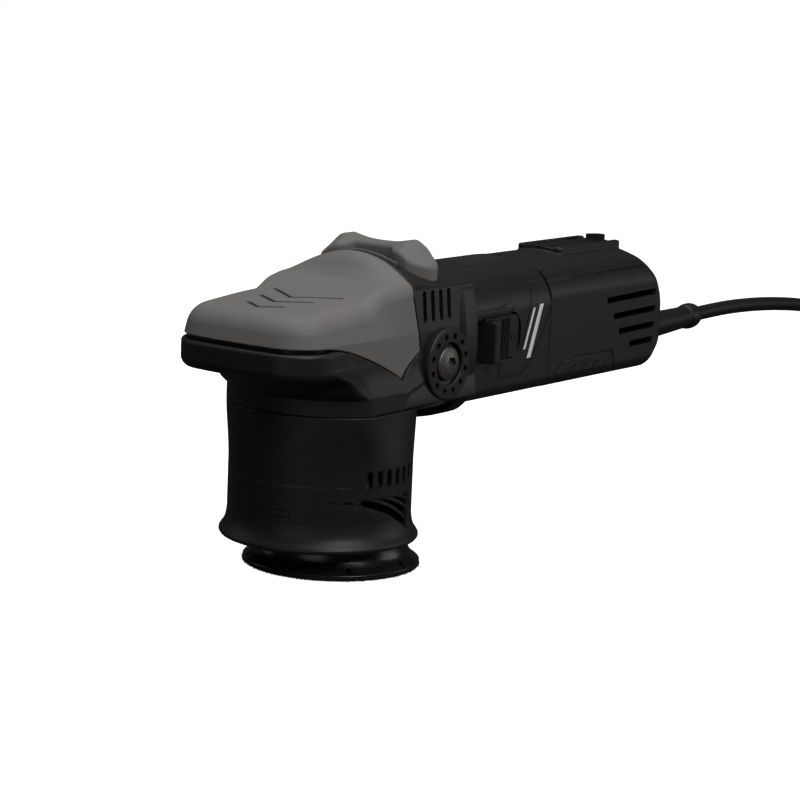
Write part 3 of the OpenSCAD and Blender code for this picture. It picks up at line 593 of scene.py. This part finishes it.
def chevrons(x, y):
    """Three nested engraved chevrons that point to the nose"""
    lines = [line(np.abs(x), y, [(0, apex), (half, end)], 1.0)
             for apex, end, half in ((-24.5, -12.8, 17.3), (-34.5, -27, 13.2), (-45, -40, 9.0))]
    return either(*lines)


def nose_cover(x, y, z):
    outer = head_form(x, y, z)
    body = rmax(outer, cover_side(y, z) + GAP, 0.5)
    return without(body, outer + WALL, np.maximum(chevrons(x, y), -0.9 - outer))


# Side outline of the black shell: the bumper's underside, the hollow under it and the straight flank
HOLLOW = [(-30 + 17.5 * math.sin(a), SEAM_Z + 15 * math.cos(a))
          for a in np.linspace(0, math.pi / 2, 10)]
SHELL_SIDE = ([(-70, 86.3), (-46, 85.6), (-38, 85.2)] + HOLLOW
              + [(60, SEAM_Z), (60, 140), (-70, 140)])


def neck_outline(x, y, squareness):
    """Distance, seen from above, to the neck: round, or square with a bowed front"""
    circle = np.hypot(x, y) - 38.7
    square = rmax(np.abs(x) - 37.9, np.hypot(x, y - 4.4) - 43.1, 2.0)
    square = rmax(square, np.hypot(x, np.maximum(y - 2, 0)) - 38.2, 1)
    return circle + (square - circle) * squareness


def flange_side(x, z):
    """The bowed sides of the joint between the head and the motor housing"""
    return np.hypot(np.abs(x) + 54, z - 91.2) - 91.4


def flange_foot(x, z):
    """The bowed underside of that joint"""
    return np.hypot(x, z - 129.4) - 72.9


def band(x, y, z):
    """The flange band round the joint of the head and the motor housing"""
    crown = np.hypot(x, z - 24.2) - 99.6
    ring = rmax(rmax(flange_side(x, z), crown, 3), flange_foot(x, z), 5)
    ring = ring + 2.3 * ease((49.2 - y) / 3.6)
    return rmax(ring, between(y, *BAND_Y), 1.0)


def shell_outer(x, y, z):
    """The black shell from outside: flanks, bumper, collar and the cove above the neck"""
    proud = 1.3 * (1 - ease((y + 34) / 24))
    flare = 2.5 * ease((88 - z) / 18) * ease((y + 26) / 14)
    wall = head_plan(x, y) + 0.10 * np.maximum(z - 100, 0) - proud - flare
    flank = rmax(wall, outline(y, z, SHELL_SIDE), 0.8 + 3.6 * (1 - ease((y + 30) / 14)))
    low = rmax(flank, z - 97.8 - 1.1 * ease((y + 45) / 15), 1.6)
    edge = curve(y, [(10, 2.6), (20, 1.6), (46, 1.2)])
    high = rmax(flank, 0.93 * (z - head_top(x, y)), edge)
    head = np.where(y < -14, low, high)
    neck = neck_outline(x, y, 1.0)
    collar = np.maximum(neck, between(z, SEAM_Z, 76.6))
    reach = curve(z, [(76.6, 0.5), (78, 2.1), (80, 3.8), (82.5, 5.6), (85, 8.5), (88, 14)])
    cove = np.maximum(rmax(neck - reach, wall - 0.4, 1.5), between(z, 76.6, 90))
    return rmin(np.minimum(head, collar), cove, 0.8)


def gear_rim(x, y, z):
    """The gear case's machined rim, seen under the head in front of the band"""
    foot = flange_foot(x, z)
    edge = rmax(flange_side(x, z), foot, 5) + 3.6
    plate = np.maximum(rmax(edge, between(y, 39.5, 48.5), 0.8), z - 73)
    pocket = np.maximum(rmax(rmax(np.abs(x) - 24, foot + 7.5, 3), y - 45.5, 1.5), z - 74)
    seats = np.hypot(np.abs(x) - 22.5, z - 66.5) - 5
    return without(plate, np.maximum(pocket, -np.maximum(seats, 43 - y)), np.hypot(x, y) - 40.4)


def gear_bolts(x, y, z):
    """Four socket head screws that hold the motor housing to the gear case"""
    u, v = np.abs(x) - GEAR_BOLT[0], np.abs(z - MOTOR_Z) - GEAR_BOLT[1]
    r = np.hypot(u, v)
    head = rmax(r - 3.5, between(y, 45, 49), 0.4)
    angle = np.mod(np.arctan2(v, u), math.pi / 3) - math.pi / 6
    key = np.maximum(r * np.cos(angle) - 1.6, y - 47.5)
    return np.minimum(without(head, key), np.maximum(r - 2, between(y, 48, 56.4)))


def head_vents(x, y, z):
    rows = [np.hypot(y - 22.4 - 5.7 * k, np.maximum(np.abs(z - 110.35) - 5.3, 0)) - 1.25 for k in range(4)]
    return np.maximum(either(*rows), 27 - np.abs(x))


def head_shell(x, y, z):
    form = head_form(x, y, z)
    outer = np.minimum(shell_outer(x, y, z), band(x, y, z))
    cover = cover_side(y, z)
    body = np.maximum(rmax(outer, GAP - cover, 0.4), y - BAND_Y[1])
    hollow = np.maximum(np.maximum(outer + WALL, SEAM_Z + 1 - z), y - 49)
    lip = np.maximum(between(form, -5.2, -WALL - 0.3), between(cover, -6, 3.5))
    bore = np.maximum(np.hypot(x, y) - 30.4, z - 82)
    below = np.maximum(rect(x, y - 24, 31.2, 24), z - 78)
    mouth = np.maximum(np.maximum(rect(x, z - MOTOR_Z, 33.6, 30, 10), 43 - y), outer + 1.8)
    seat = np.maximum(np.hypot(y - BOSS_Y, z - BOSS_Z) - 4.2, 27 - np.abs(x))
    crease = line(y, z, [(16.5, 118), (30, 118.4), (45, 118.6)], 0.3)
    crease = np.maximum(np.maximum(crease, -0.5 - outer), 20 - np.abs(x))
    rear_lip = np.maximum(band(x, 0 * y + 53, z) + 0.6, 0.2 - body_section(x, z))
    rear_lip = np.maximum(rear_lip, between(y, 56.6, 58))
    body = without(body, hollow, bore, below, mouth, seat, crease, head_vents(x, y, z))
    return either(body, lip, rear_lip)


def top_grip(x, y, z):
    """A saddle across the roof for the palm, with a raised rib on its front slope"""
    ridge = curve(np.abs(x), [(0, 133.6), (6, 133.8), (12, 134.7), (16.5, 135.5), (19, 134.7), (24, 130.4),
                              (28.9, 126.2), (31, 124)])
    top = ridge - 0.72 * np.maximum(32.6 - y, 0) - 0.6 * np.maximum(y - 38.4, 0)
    front = curve(np.abs(x), [(0, 31), (9, 30.4), (12.5, 27.6), (17, 25.8), (20, 25.6), (26, 29),
                              (29.5, 32)])
    rear = curve(np.abs(x), [(0, 43.6), (14, 43.4), (20, 42.6), (26, 39.6), (29.5, 37.2)])
    grip = rmax(0.8 * (z - top), between(y, front, rear), 0.9)
    grip = rmax(grip, np.abs(x) - 29.6, 1.2)
    arc = np.abs(np.hypot(x, y - 60.5) - 38.5) - 0.8
    rib_top = z - roof(x, np.maximum(y, 16)) - 1.0
    rib = rmax(rmax(arc, rib_top, 0.4), np.maximum(np.abs(x) - 16.5, y - 29), 0.3)
    return np.maximum(np.minimum(grip, rib), -0.3 - head_form(x, y, z))


def side_boss(x, y, z):
    """Round seat of a handle, with twelve index dimples and a recess for the bolt's head"""
    across = np.hypot(y - BOSS_Y, z - BOSS_Z)
    angle = np.arctan2(z - BOSS_Z, y - BOSS_Y)
    sector = math.pi / 6
    off = (np.mod(angle, sector) - sector / 2) * across
    dimple = np.hypot(off, across - 11.9) - 1.35
    disc = rmax(across - 15.3, between(x, 33.5, 38.4), 0.9)
    recess = rmax(-(across - 8.9), x - 38.4, 0.7)
    disc = np.maximum(disc, np.where((across < 12) & (x > 36.4), recess, -9))
    return without(disc, np.maximum(dimple, 36.2 - x), across - 4.1)


def bolt_head(x, y, z):
    """Button head of an M8 bolt with a hexagon socket"""
    across = np.hypot(y - BOSS_Y, z - BOSS_Z)
    angle = np.arctan2(z - BOSS_Z, y - BOSS_Y)
    sector = math.pi / 3
    key = across * np.cos(np.mod(angle, sector) - sector / 2) - 3.0
    dome = np.hypot(across, x - 24.6) - 15.2
    head = rmax(np.maximum(across - 7.2, 36.4 - x), dome, 0.5)
    head = rmax(head, x - 39.9, 0.6)
    return without(np.minimum(head, np.maximum(across - 4, between(x, 27, 37))), np.maximum(key, 37.6 - x))


def mirrored(field):
    return lambda x, y, z: field(-x, y, z)


# ---- the neck ----


def neck_shell(x, y, z):
    """The neck, its skirt, its vents and the arrow that shows the way of turning"""
    square = ease((z - 44) / 26)
    ring = neck_outline(x, y, square)
    flare = curve(z, [(12.6, 3.1), (14.2, 3.25), (15.4, 2.7), (17, 1.6), (19, 0.75), (21.5, 0.25),
                      (24, 0.0)])
    foot = 0.16 * ease((40.4 - z) / 0.8) * ease((50 - np.abs(np.degrees(np.arctan2(x, -y)) - 12)) / 9)
    outer = rmax(ring - flare - foot, z - SEAM_Z + 2 * GAP, 0.4)
    outer = rmax(outer, 12.8 - z, 1.0)
    inner = np.maximum(ring - flare + 2.4, z - 66)
    throat = np.maximum(np.hypot(x, y) - 24, 60 - z)
    side = np.abs(x)
    angle = np.degrees(np.arctan2(side, -y))
    body = without(outer, inner, throat)
    arc = math.radians(1) * 38.75
    vents = [np.hypot((angle - 69.6 - 7.8 * k) * arc, np.maximum(np.abs(z - 42.5) - 2.4, 0)) - 1.4
             for k in range(7)]
    body = without(body, np.maximum(either(*vents), 30 - np.hypot(x, y)))
    across = (angle - 48) * arc
    low_edge = 33.4 - 14.1 * (np.maximum(across, 0) / 39.2) ** 1.9
    high_edge = 33.6 + 1.2 * ease(across / 10)
    window = np.maximum(np.maximum(low_edge - z, z - high_edge), across - 39.6 - 0.12 * (z - 19))
    window = np.maximum(window, 3.2 - across)
    blades = [np.abs(35.2 - 14.1 * (np.maximum(across - start, 0) / 33) ** 1.75 - z) * 0.82 - 0.6
              for start in (9.5, 17.5, 25.5, 33)]
    blade = np.maximum(either(*blades), np.abs(np.hypot(x, y) - 36.9) - 1.3)
    window = np.maximum(window, 33 - np.hypot(x, y))
    body = np.maximum(body, -np.maximum(window, -blade))
    groove = line(across, z, [(-3, 33.6), (3, 33.3), (14, 31.0), (24, 27.4), (33, 22.9),
                              (39.5, 18.6)], 0.35)
    groove = np.minimum(groove, line(across, z, [(39.8, 20.5), (40.6, 15.5)], 0.35))
    turned = np.degrees(np.arctan2(x, -y)) * arc
    arrow = line(turned, z, [(-0.5, 28.4), (5, 31.2), (5, 29.8), (13.2, 29.4), (13.2, 26.6), (5, 26.9),
                             (5, 25.4), (-0.5, 28.4)], 0.28)
    return without(body, np.maximum(np.minimum(groove, arrow), -0.45 - (ring - flare - foot)))


# ---- the pad ----


def backing_plate(x, y, z):
    u, v = x - ORBIT[0], y - ORBIT[1]
    r = np.hypot(u, v)
    rim = curve(z, [(2, 37.3), (2.6, 37.2), (3.4, 36.2), (4.4, 34.9), (5.7, 33.6), (7.4, 32.6),
                    (10, 31.9), (15, 31.2)])
    body = rmax(r - rim, between(z, 2, 15), 0.5)
    sector = math.pi / 4
    angle = np.arctan2(u, -v) - math.radians(4.9)
    off = (np.mod(angle + sector / 2, sector) - sector / 2) * r
    holes = np.maximum(np.hypot(off, z - 4.3) - 1.2, 30 - r)
    return without(body, holes, np.maximum(r - 6, z - 9), r - 3.2)


# ---- the motor housing ----


def body_section(x, z):
    """Section of the motor housing: flat sides, arched top with wide shoulders, flatter underside"""
    top = z - 121 + x * x / 130
    section = rmax(np.abs(x) - BODY_W, top, 13)
    return rmax(section, 63.2 + x * x / 900 - z, 5)


def housing_side(y, z):
    """Lines engraved along the side of the motor housing"""
    seam = line(y, z, [(50, 72.3), (103, 72.8), (108.5, 77), (117.5, 88.1), (124.9, 101.9),
                       (127, 107)], 0.42)
    panel = line(y, z, [(123, 112.2), (111, 112), (107.2, 99), (101.2, 83)], 0.36)
    return np.minimum(seam, panel)


def rail(x, y, z):
    """Guard rail over the switch, turned up at its rear end"""
    rise = 102.7 + 1.2 * ease((y - 84.5) / 6) ** 2
    bar = rmax(np.abs(z - rise) - 1.3, np.abs(x - 30.5) - 2.6, 0.6)
    return rmax(bar, between(y, 56, 91.5), 0.6)


def motor_housing(x, y, z):
    section = body_section(x, z)
    outer = np.maximum(section, between(y, BAND_Y[1] - 4, CAP_Y - 0.15))
    skin = np.minimum(outer, rail(x, y, z))
    spigot = np.maximum(section + 3.1, between(y, CAP_Y - 3, 138))
    body = without(skin, np.maximum(outer, section + 2.6))
    body = np.minimum(body, np.maximum(spigot, -section - 5.0))
    hollow = np.maximum(section + 2.6, between(y, 40, CAP_Y - 3))
    body = np.maximum(body, -hollow)
    recess = rect(y - 79, z - 91, 22.2, 10.6, 8.5)
    recess = np.minimum(recess, rect(y - 66, z - 91, 12, 10.6))
    recess = np.maximum(recess, 28.4 - x)
    window = np.maximum(rect(y - 64, z - 90.5, 8.2, 8.6), 20 - x)
    ledge = np.maximum(outline(y, z, [(56, 79.2), (88, 79.2), (85, 74.8), (56, 74.8)]), 29.4 - x)
    label = np.maximum(rect(x, y - 104, 10.2, 18.1, 1.2), 119.9 - z)
    face = section + 0.55
    lines = np.maximum(housing_side(y, z), -face)
    accent = np.maximum(accent_outline(y, z) - 0.25, 29.1 - np.abs(x))
    joint = np.maximum(np.abs(y - CAP_Y) - 0.4, -face)
    return without(body, recess, window, ledge, label, lines, accent, joint)


def accent_outline(y, z):
    """Two slanted bars in place of a badge"""
    bars = outline(y, z, [(107.0, 79.2), (109.6, 79.2), (118.4, 102.6), (115.8, 102.6)])
    return np.minimum(bars, outline(y, z, [(103.9, 83.4), (105.2, 83.4), (112.0, 101.4), (110.7, 101.4)]))


def accent(x, y, z):
    return rmax(accent_outline(y, z), between(x, 28.8, 30.15), 0.3)


def slider(x, y, z):
    """Thumb tab, ribs and plate of the slide switch"""
    plate = rmax(rect(y - 86.3, z - 90.4, 13.4, 9.4, 2.0), between(x, 27.6, 29.6), 0.4)
    side = outline(y, x, [(71.2, 27), (72.6, 35.6), (73.4, 36), (76.8, 36), (77.6, 35.4), (79.4, 27)])
    tab = rmax(side, np.abs(z - 90) - 9.1, 0.7)
    ribs = [rmax(np.abs(y - 87.3 - 1.5 * k) - 0.35, between(x, 29, 30.3), 0.2) for k in range(4)]
    ribs = np.maximum(either(*ribs), np.abs(z - 90) - 8.6)
    ring = np.maximum(np.abs(np.hypot(y - 96.1, z - 90.3) - 1.7) - 0.3, between(x, 29, 29.95))
    return either(plate, tab, ribs, ring)


# ---- the rear cover ----


def tail_section(x, z):
    top = z - 120.6 + x * x / 120
    section = rmax(np.abs(x) - BODY_W, top, 9)
    return rmax(section, 63.0 + x * x / 900 - z, 5.5)


def tail_form(x, y, z):
    bulge = 1 - (x / 30) ** 2
    end = y - 222.5 - 5.5 * bulge
    slope = 0.70 * y + 0.714 * z - 0.70 * 213.5 - 0.714 * 110 - 5.5 * bulge
    low = 0.75 * (y - 219) - 0.66 * (z - 71) - 2.5 * bulge
    shape = rmax(tail_section(x, z), rmax(end, slope, 8), 3.5)
    return rmax(shape, low, 3)


def outlet_off(x, y, z):
    """Distance to the axis of the cord outlet, which rises to the rear by two degrees"""
    return np.hypot(x, z - 74.2 - math.tan(math.radians(2)) * (y - 238))


def tail_slots(x, y, z):
    rows = ((99.3, 172, 215), (91.2, 178.4, 215.5), (83.6, 183.7, 215), (76.5, 193.5, 214))
    slots = [rect(y - (a + b) / 2, z - at - 0.02 * (y - 190), (b - a) / 2, 1.5, 0.5) for at, a, b in rows]
    return np.maximum(either(*slots), 22 - np.abs(x))


def grip_lines(y, z):
    """A side panel for the hand, with four curved grooves"""
    edge = [(127.5, 67.5), (137, 75.1), (178.4, 75.3), (178.8, 74.6), (181.3, 66.5)]
    marks = [line(y, z, [(140 + 9.6 * k, 65), (141.8 + 9.6 * k, 68), (144.4 + 9.6 * k, 70.4),
                         (147.2 + 9.6 * k, 71.9)], 0.45) for k in range(4)]
    return either(line(y, z, edge, 0.42), *marks)


def tail_cover(x, y, z):
    form = tail_form(x, y, z)
    outer = np.maximum(form, CAP_Y + 0.15 - y)
    deck = rmax(rect(x, y - 183.8, 12.2, 26.2, 2), between(z, 112, 122.7), 1.0)
    pan = np.maximum(rect(x, y - 186, 8.6, 28.2, 1), 121.6 - z)
    tube = outlet_off(x, y, z)
    nozzle = rmax(tube - 9 - 0.12 * (238 - y), between(y, 205, 238.1), 1.2)
    skin = without(rmin(rmin(outer, nozzle, 2.5), deck, 0.8), pan)
    hollow = np.maximum(form + 2.6, CAP_Y - y)
    crease = np.maximum(np.abs(z - 111.9 - 0.004 * (y - 160)) - 0.4, between(y, 120, 209))
    face = form + 0.55
    lines = np.maximum(np.minimum(crease, grip_lines(y, z)), -face)
    dial = np.maximum(np.hypot(y - 217, z - 98) - 14.9, np.abs(x) - 4.9)
    cable = np.maximum(tube - 3.7, 180 - y)
    return without(skin, hollow, tail_slots(x, y, z), lines, dial, cable)


def tail_inset(x, y, z):
    top = z - 122.55 + x * x / 90
    return rmax(rmax(rect(x, y - 183.3, 8.3, 25.2, 0.8), top, 0.5), 121.4 - z, 0.2)


def name_plate(x, y, z):
    top = z - 120.9 + x * x / 130
    frame_line = np.maximum(np.abs(rect(x, y - 104, 8.4, 16.4, 1.5)) - 0.3, -top - 0.35)
    return without(rmax(rmax(rect(x, y - 104, 9.9, 17.8, 1.0), top, 0.25), 119.9 - z, 0.2), frame_line)


# ---- cord relief, plug and tie ----


def relief(x, y, z):
    """Tapered sleeve with a bead at its end, where the cord leaves"""
    r = outlet_off(x, y, z)
    u = y - 238
    taper = 7.2 - 0.031 * u
    bead = 5.3 + 1.2 * np.sqrt(np.maximum(1 - ((u - 61) / 4.5) ** 2, 0))
    collar = np.where(u < 4, 8.0, np.maximum(taper, bead))
    return rmax(r - collar, between(y, 237.6, 304), 0.9)


def plug_body(x, y, z):
    """Straight moulded two pin plug with finger grips"""
    u = PLUG_AT[1] - y
    w = x - PLUG_AT[0]
    v = z - PLUG_AT[2]
    r = np.hypot(w, v)
    taper = curve(u, [(0, 5.0), (3, 6.0), (20, 6.7), (27, 10.5), (33, 16.0), (38, 17.6), (57.5, 17.8)])
    body = rmax(r - taper, between(u, 0, 57.5), 1.2)
    grips = np.maximum(np.hypot(np.maximum(np.abs(u - 44) - 8, 0), np.abs(v)) - 5.2, 14.6 - np.abs(w))
    ribs = np.maximum(np.maximum(np.abs(np.mod(u, 3.2) - 1.6) - 0.7, 15.4 - np.abs(w)), grips)
    rings = np.maximum(np.abs(np.mod(u - 4, 4.0) - 2.0) - 0.9, np.maximum(between(u, 4, 20), 5.4 - r))
    return without(body, np.maximum(grips, -ribs - 0.2), rings)


def cord_tie(x, y, z):
    """Strap round the coil, with its end laid over itself"""
    u, v = x - COIL_AT[0], y - COIL_AT[1]
    r = np.hypot(u, v) - COIL_MIDDLE
    height = (TIE_T + 4 * (CORD_D + 0.05)) / 2
    loop = rect(r, z - height - 0.3, 15.8, height + 0.3, 3.2)
    angle = np.degrees(np.arctan2(v, u))
    span = (np.abs(angle - 30) - 10) * 0.75
    strap = rmax(np.maximum(loop, -loop - 1.0), span, 0.4)
    tail = np.maximum(np.maximum(np.abs(loop - 0.6) - 0.55, np.abs(r - 6) - 9), 20 - z)
    return np.minimum(strap, rmax(tail, span + 0.8, 0.3))


# ---- the pieces ----


def build(name, field, low, high, step, keep, body, slot_name, *nodes):
    return dress(solid(name, field, low, high, step, keep), body, slot_name, looks[slot_name], *nodes)


build("nose_cover_skin", nose_cover, (-37, -63, 80), (37, 20, 132), 0.55, 0.3,
      "root", "soft_grey_rubber", "nose_cover")
build("head_shell_skin", head_shell, (-40, -63, 56), (40, 59, 132), 0.55, 0.3,
      "root", "black_plastic", "head_shell")
build("gear_case_rim", gear_rim, (-35, 40, 55), (35, 50, 74), 0.4, 0.4, "root", "cast_aluminium")
build("gear_case_bolts", gear_bolts, (-27, 44, 60), (27, 57.5, 124), 0.35, 0.5,
      "root", "dark_bolts", "gear_case_screws")
build("top_grip_skin", top_grip, (-31, 20, 112), (31, 45, 137), 0.4, 0.4,
      "root", "soft_grey_rubber", "top_grip")
for side, boss, bolt in (("right", side_boss, bolt_head),
                         ("left", mirrored(side_boss), mirrored(bolt_head))):
    near, far = (33, 39) if side == "right" else (-39, -33)
    build("side_boss_skin_" + side, boss, (near, 20, 69), (far, 52, 102), 0.3, 0.35,
          "root", "black_plastic", "side_boss_" + side)
    near, far = (26.5, 40.2) if side == "right" else (-40.2, -26.5)
    build("boss_bolt_" + side, bolt, (near, 28, 77.5), (far, 44, 93.5), 0.25, 0.4,
          "root", "dark_bolts", *(["boss_bolts"] if side == "right" else []))
build("neck_skin", neck_shell, (-43, -43, 12), (43, 43, 70), 0.5, 0.32,
      "root", "black_plastic", "shroud")
build("motor_housing_skin", motor_housing, (-31, 52, 62), (34, 139, 122), 0.5, 0.3,
      "root", "black_plastic", "motor_housing")
build("tail_cover_skin", tail_cover, (-31, 124, 62), (31, 239, 123.5), 0.55, 0.3,
      "root", "black_plastic", "rear_cover")
build("tail_inset_skin", tail_inset, (-9, 157, 121), (9, 210, 123.2), 0.3, 0.3,
      "root", "gloss_black", "tail_inset")
build("name_plate_skin", name_plate, (-10.5, 85, 119.5), (10.5, 123, 121.4), 0.3, 0.4,
      "root", "label_plastic", "name_plate")
build("accent_bars_right", accent, (28.5, 102, 78), (30.5, 120, 104), 0.3, 0.4,
      "root", "light_plate", "accent_plates")
build("accent_bars_left", mirrored(accent), (-30.5, 102, 78), (-28.5, 120, 104), 0.3, 0.4,
      "root", "light_plate")
build("switch_tab", slider, (26.5, 70, 80), (36.5, 101, 100.5), 0.35, 0.4,
      "switch", "switch_plastic", "switch_slider")
build("relief_sleeve", relief, (-9, 237, 65), (9, 305, 85), 0.4, 0.35,
      "root", "cord_rubber", "strain_relief")
build("backing_plate_skin", backing_plate, (-35, -34, 1), (42, 44, 16), 0.5, 0.3,
      "pad", "gloss_black", "backing_plate")
plug = build("plug_moulding", plug_body, (33, 460, -0.5), (71, 519, 36.5), 0.5, 0.3,
             "root", "cord_rubber", "plug_body")
tie = build("coil_tie", cord_tie, (32, 600, -0.5), (73, 645, 33), 0.4, 0.3,
            "root", "tie_fabric", "cord_tie")


def hook_layer():
    """A fuzzy layer: a soft edged disc with short bent loops of thread all over its underside and rim"""
    rng = np.random.default_rng(7)

    def disc(x, y, z):
        u, v = x - ORBIT[0], y - ORBIT[1]
        return np.maximum(rmax(np.hypot(u, v) - 37.2, between(z, 0.5, 2.0), 0.5), 4.5 - np.hypot(u, v))

    piece = solid("hook_fuzz", disc, (-34.5, -33, 0), (41.5, 43, 2.5), 0.5, 0.4)
    count = 7000
    rim_count = 3600
    rim = np.arange(count) < rim_count
    r = np.where(rim, 36.4 + 0.8 * rng.random(count),
                 np.sqrt(4.8 ** 2 + (36.5 ** 2 - 4.8 ** 2) * rng.random(count)))
    angle = rng.random(count) * 2 * math.pi
    base = np.stack([ORBIT[0] + r * np.cos(angle), ORBIT[1] + r * np.sin(angle),
                     np.where(rim, 0.5 + 1.3 * rng.random(count), 0.7)], 1)
    out = np.stack([np.cos(angle), np.sin(angle), np.zeros(count)], 1)
    lean = rng.normal(0, 0.45, (count, 3))
    way = np.where(rim[:, None], out * 0.75 + [0, 0, -0.25], [[0, 0, -1.0]]) + lean * [1, 1, 0.3]
    way /= np.linalg.norm(way, axis=1, keepdims=True)
    side = np.cross(way, rng.normal(0, 1, (count, 3)))
    side /= np.linalg.norm(side, axis=1, keepdims=True)
    length = 0.45 + 0.4 * rng.random(count)
    thick = 0.11
    tip = base + way * length[:, None]
    tip[:, 2] = np.maximum(tip[:, 2], 0.02)
    middle = base + way * length[:, None] * 0.6 + side * 0.12
    middle[:, 2] = np.maximum(middle[:, 2], 0.1)
    third = np.cross(way, side)
    ring = [side, -0.5 * side + 0.87 * third, -0.5 * side - 0.87 * third]
    points = np.concatenate([base + thick * d for d in ring]
                            + [middle + 0.8 * thick * d for d in ring] + [tip])
    index = np.arange(count)
    faces = []
    for a in range(3):
        b = (a + 1) % 3
        faces.append(np.stack([index + a * count, index + b * count, index + (b + 3) * count], 1))
        faces.append(np.stack([index + a * count, index + (b + 3) * count, index + (a + 3) * count], 1))
        faces.append(np.stack([index + (a + 3) * count, index + (b + 3) * count, index + 6 * count], 1))
    threads = bpy.data.meshes.new("hook_threads")
    put_mesh(threads, points * MM, np.concatenate(faces))
    fuzz = bpy.data.objects.new("hook_threads", threads)
    bpy.context.scene.collection.objects.link(fuzz)
    dress(piece, "pad", "hook_fabric", looks["hook_fabric"], "hook_face")
    dress(fuzz, "pad", "hook_fabric", looks["hook_fabric"])


hook_layer()

# ---- the CAD parts that stay ----

slots = {part["node"]: part["material_slot"] for part in frame["record"]["subparts"]}
for name, part in frame["nodes"].items():
    part.data.materials.clear()
    part.data.materials.append(looks[slots[name]])
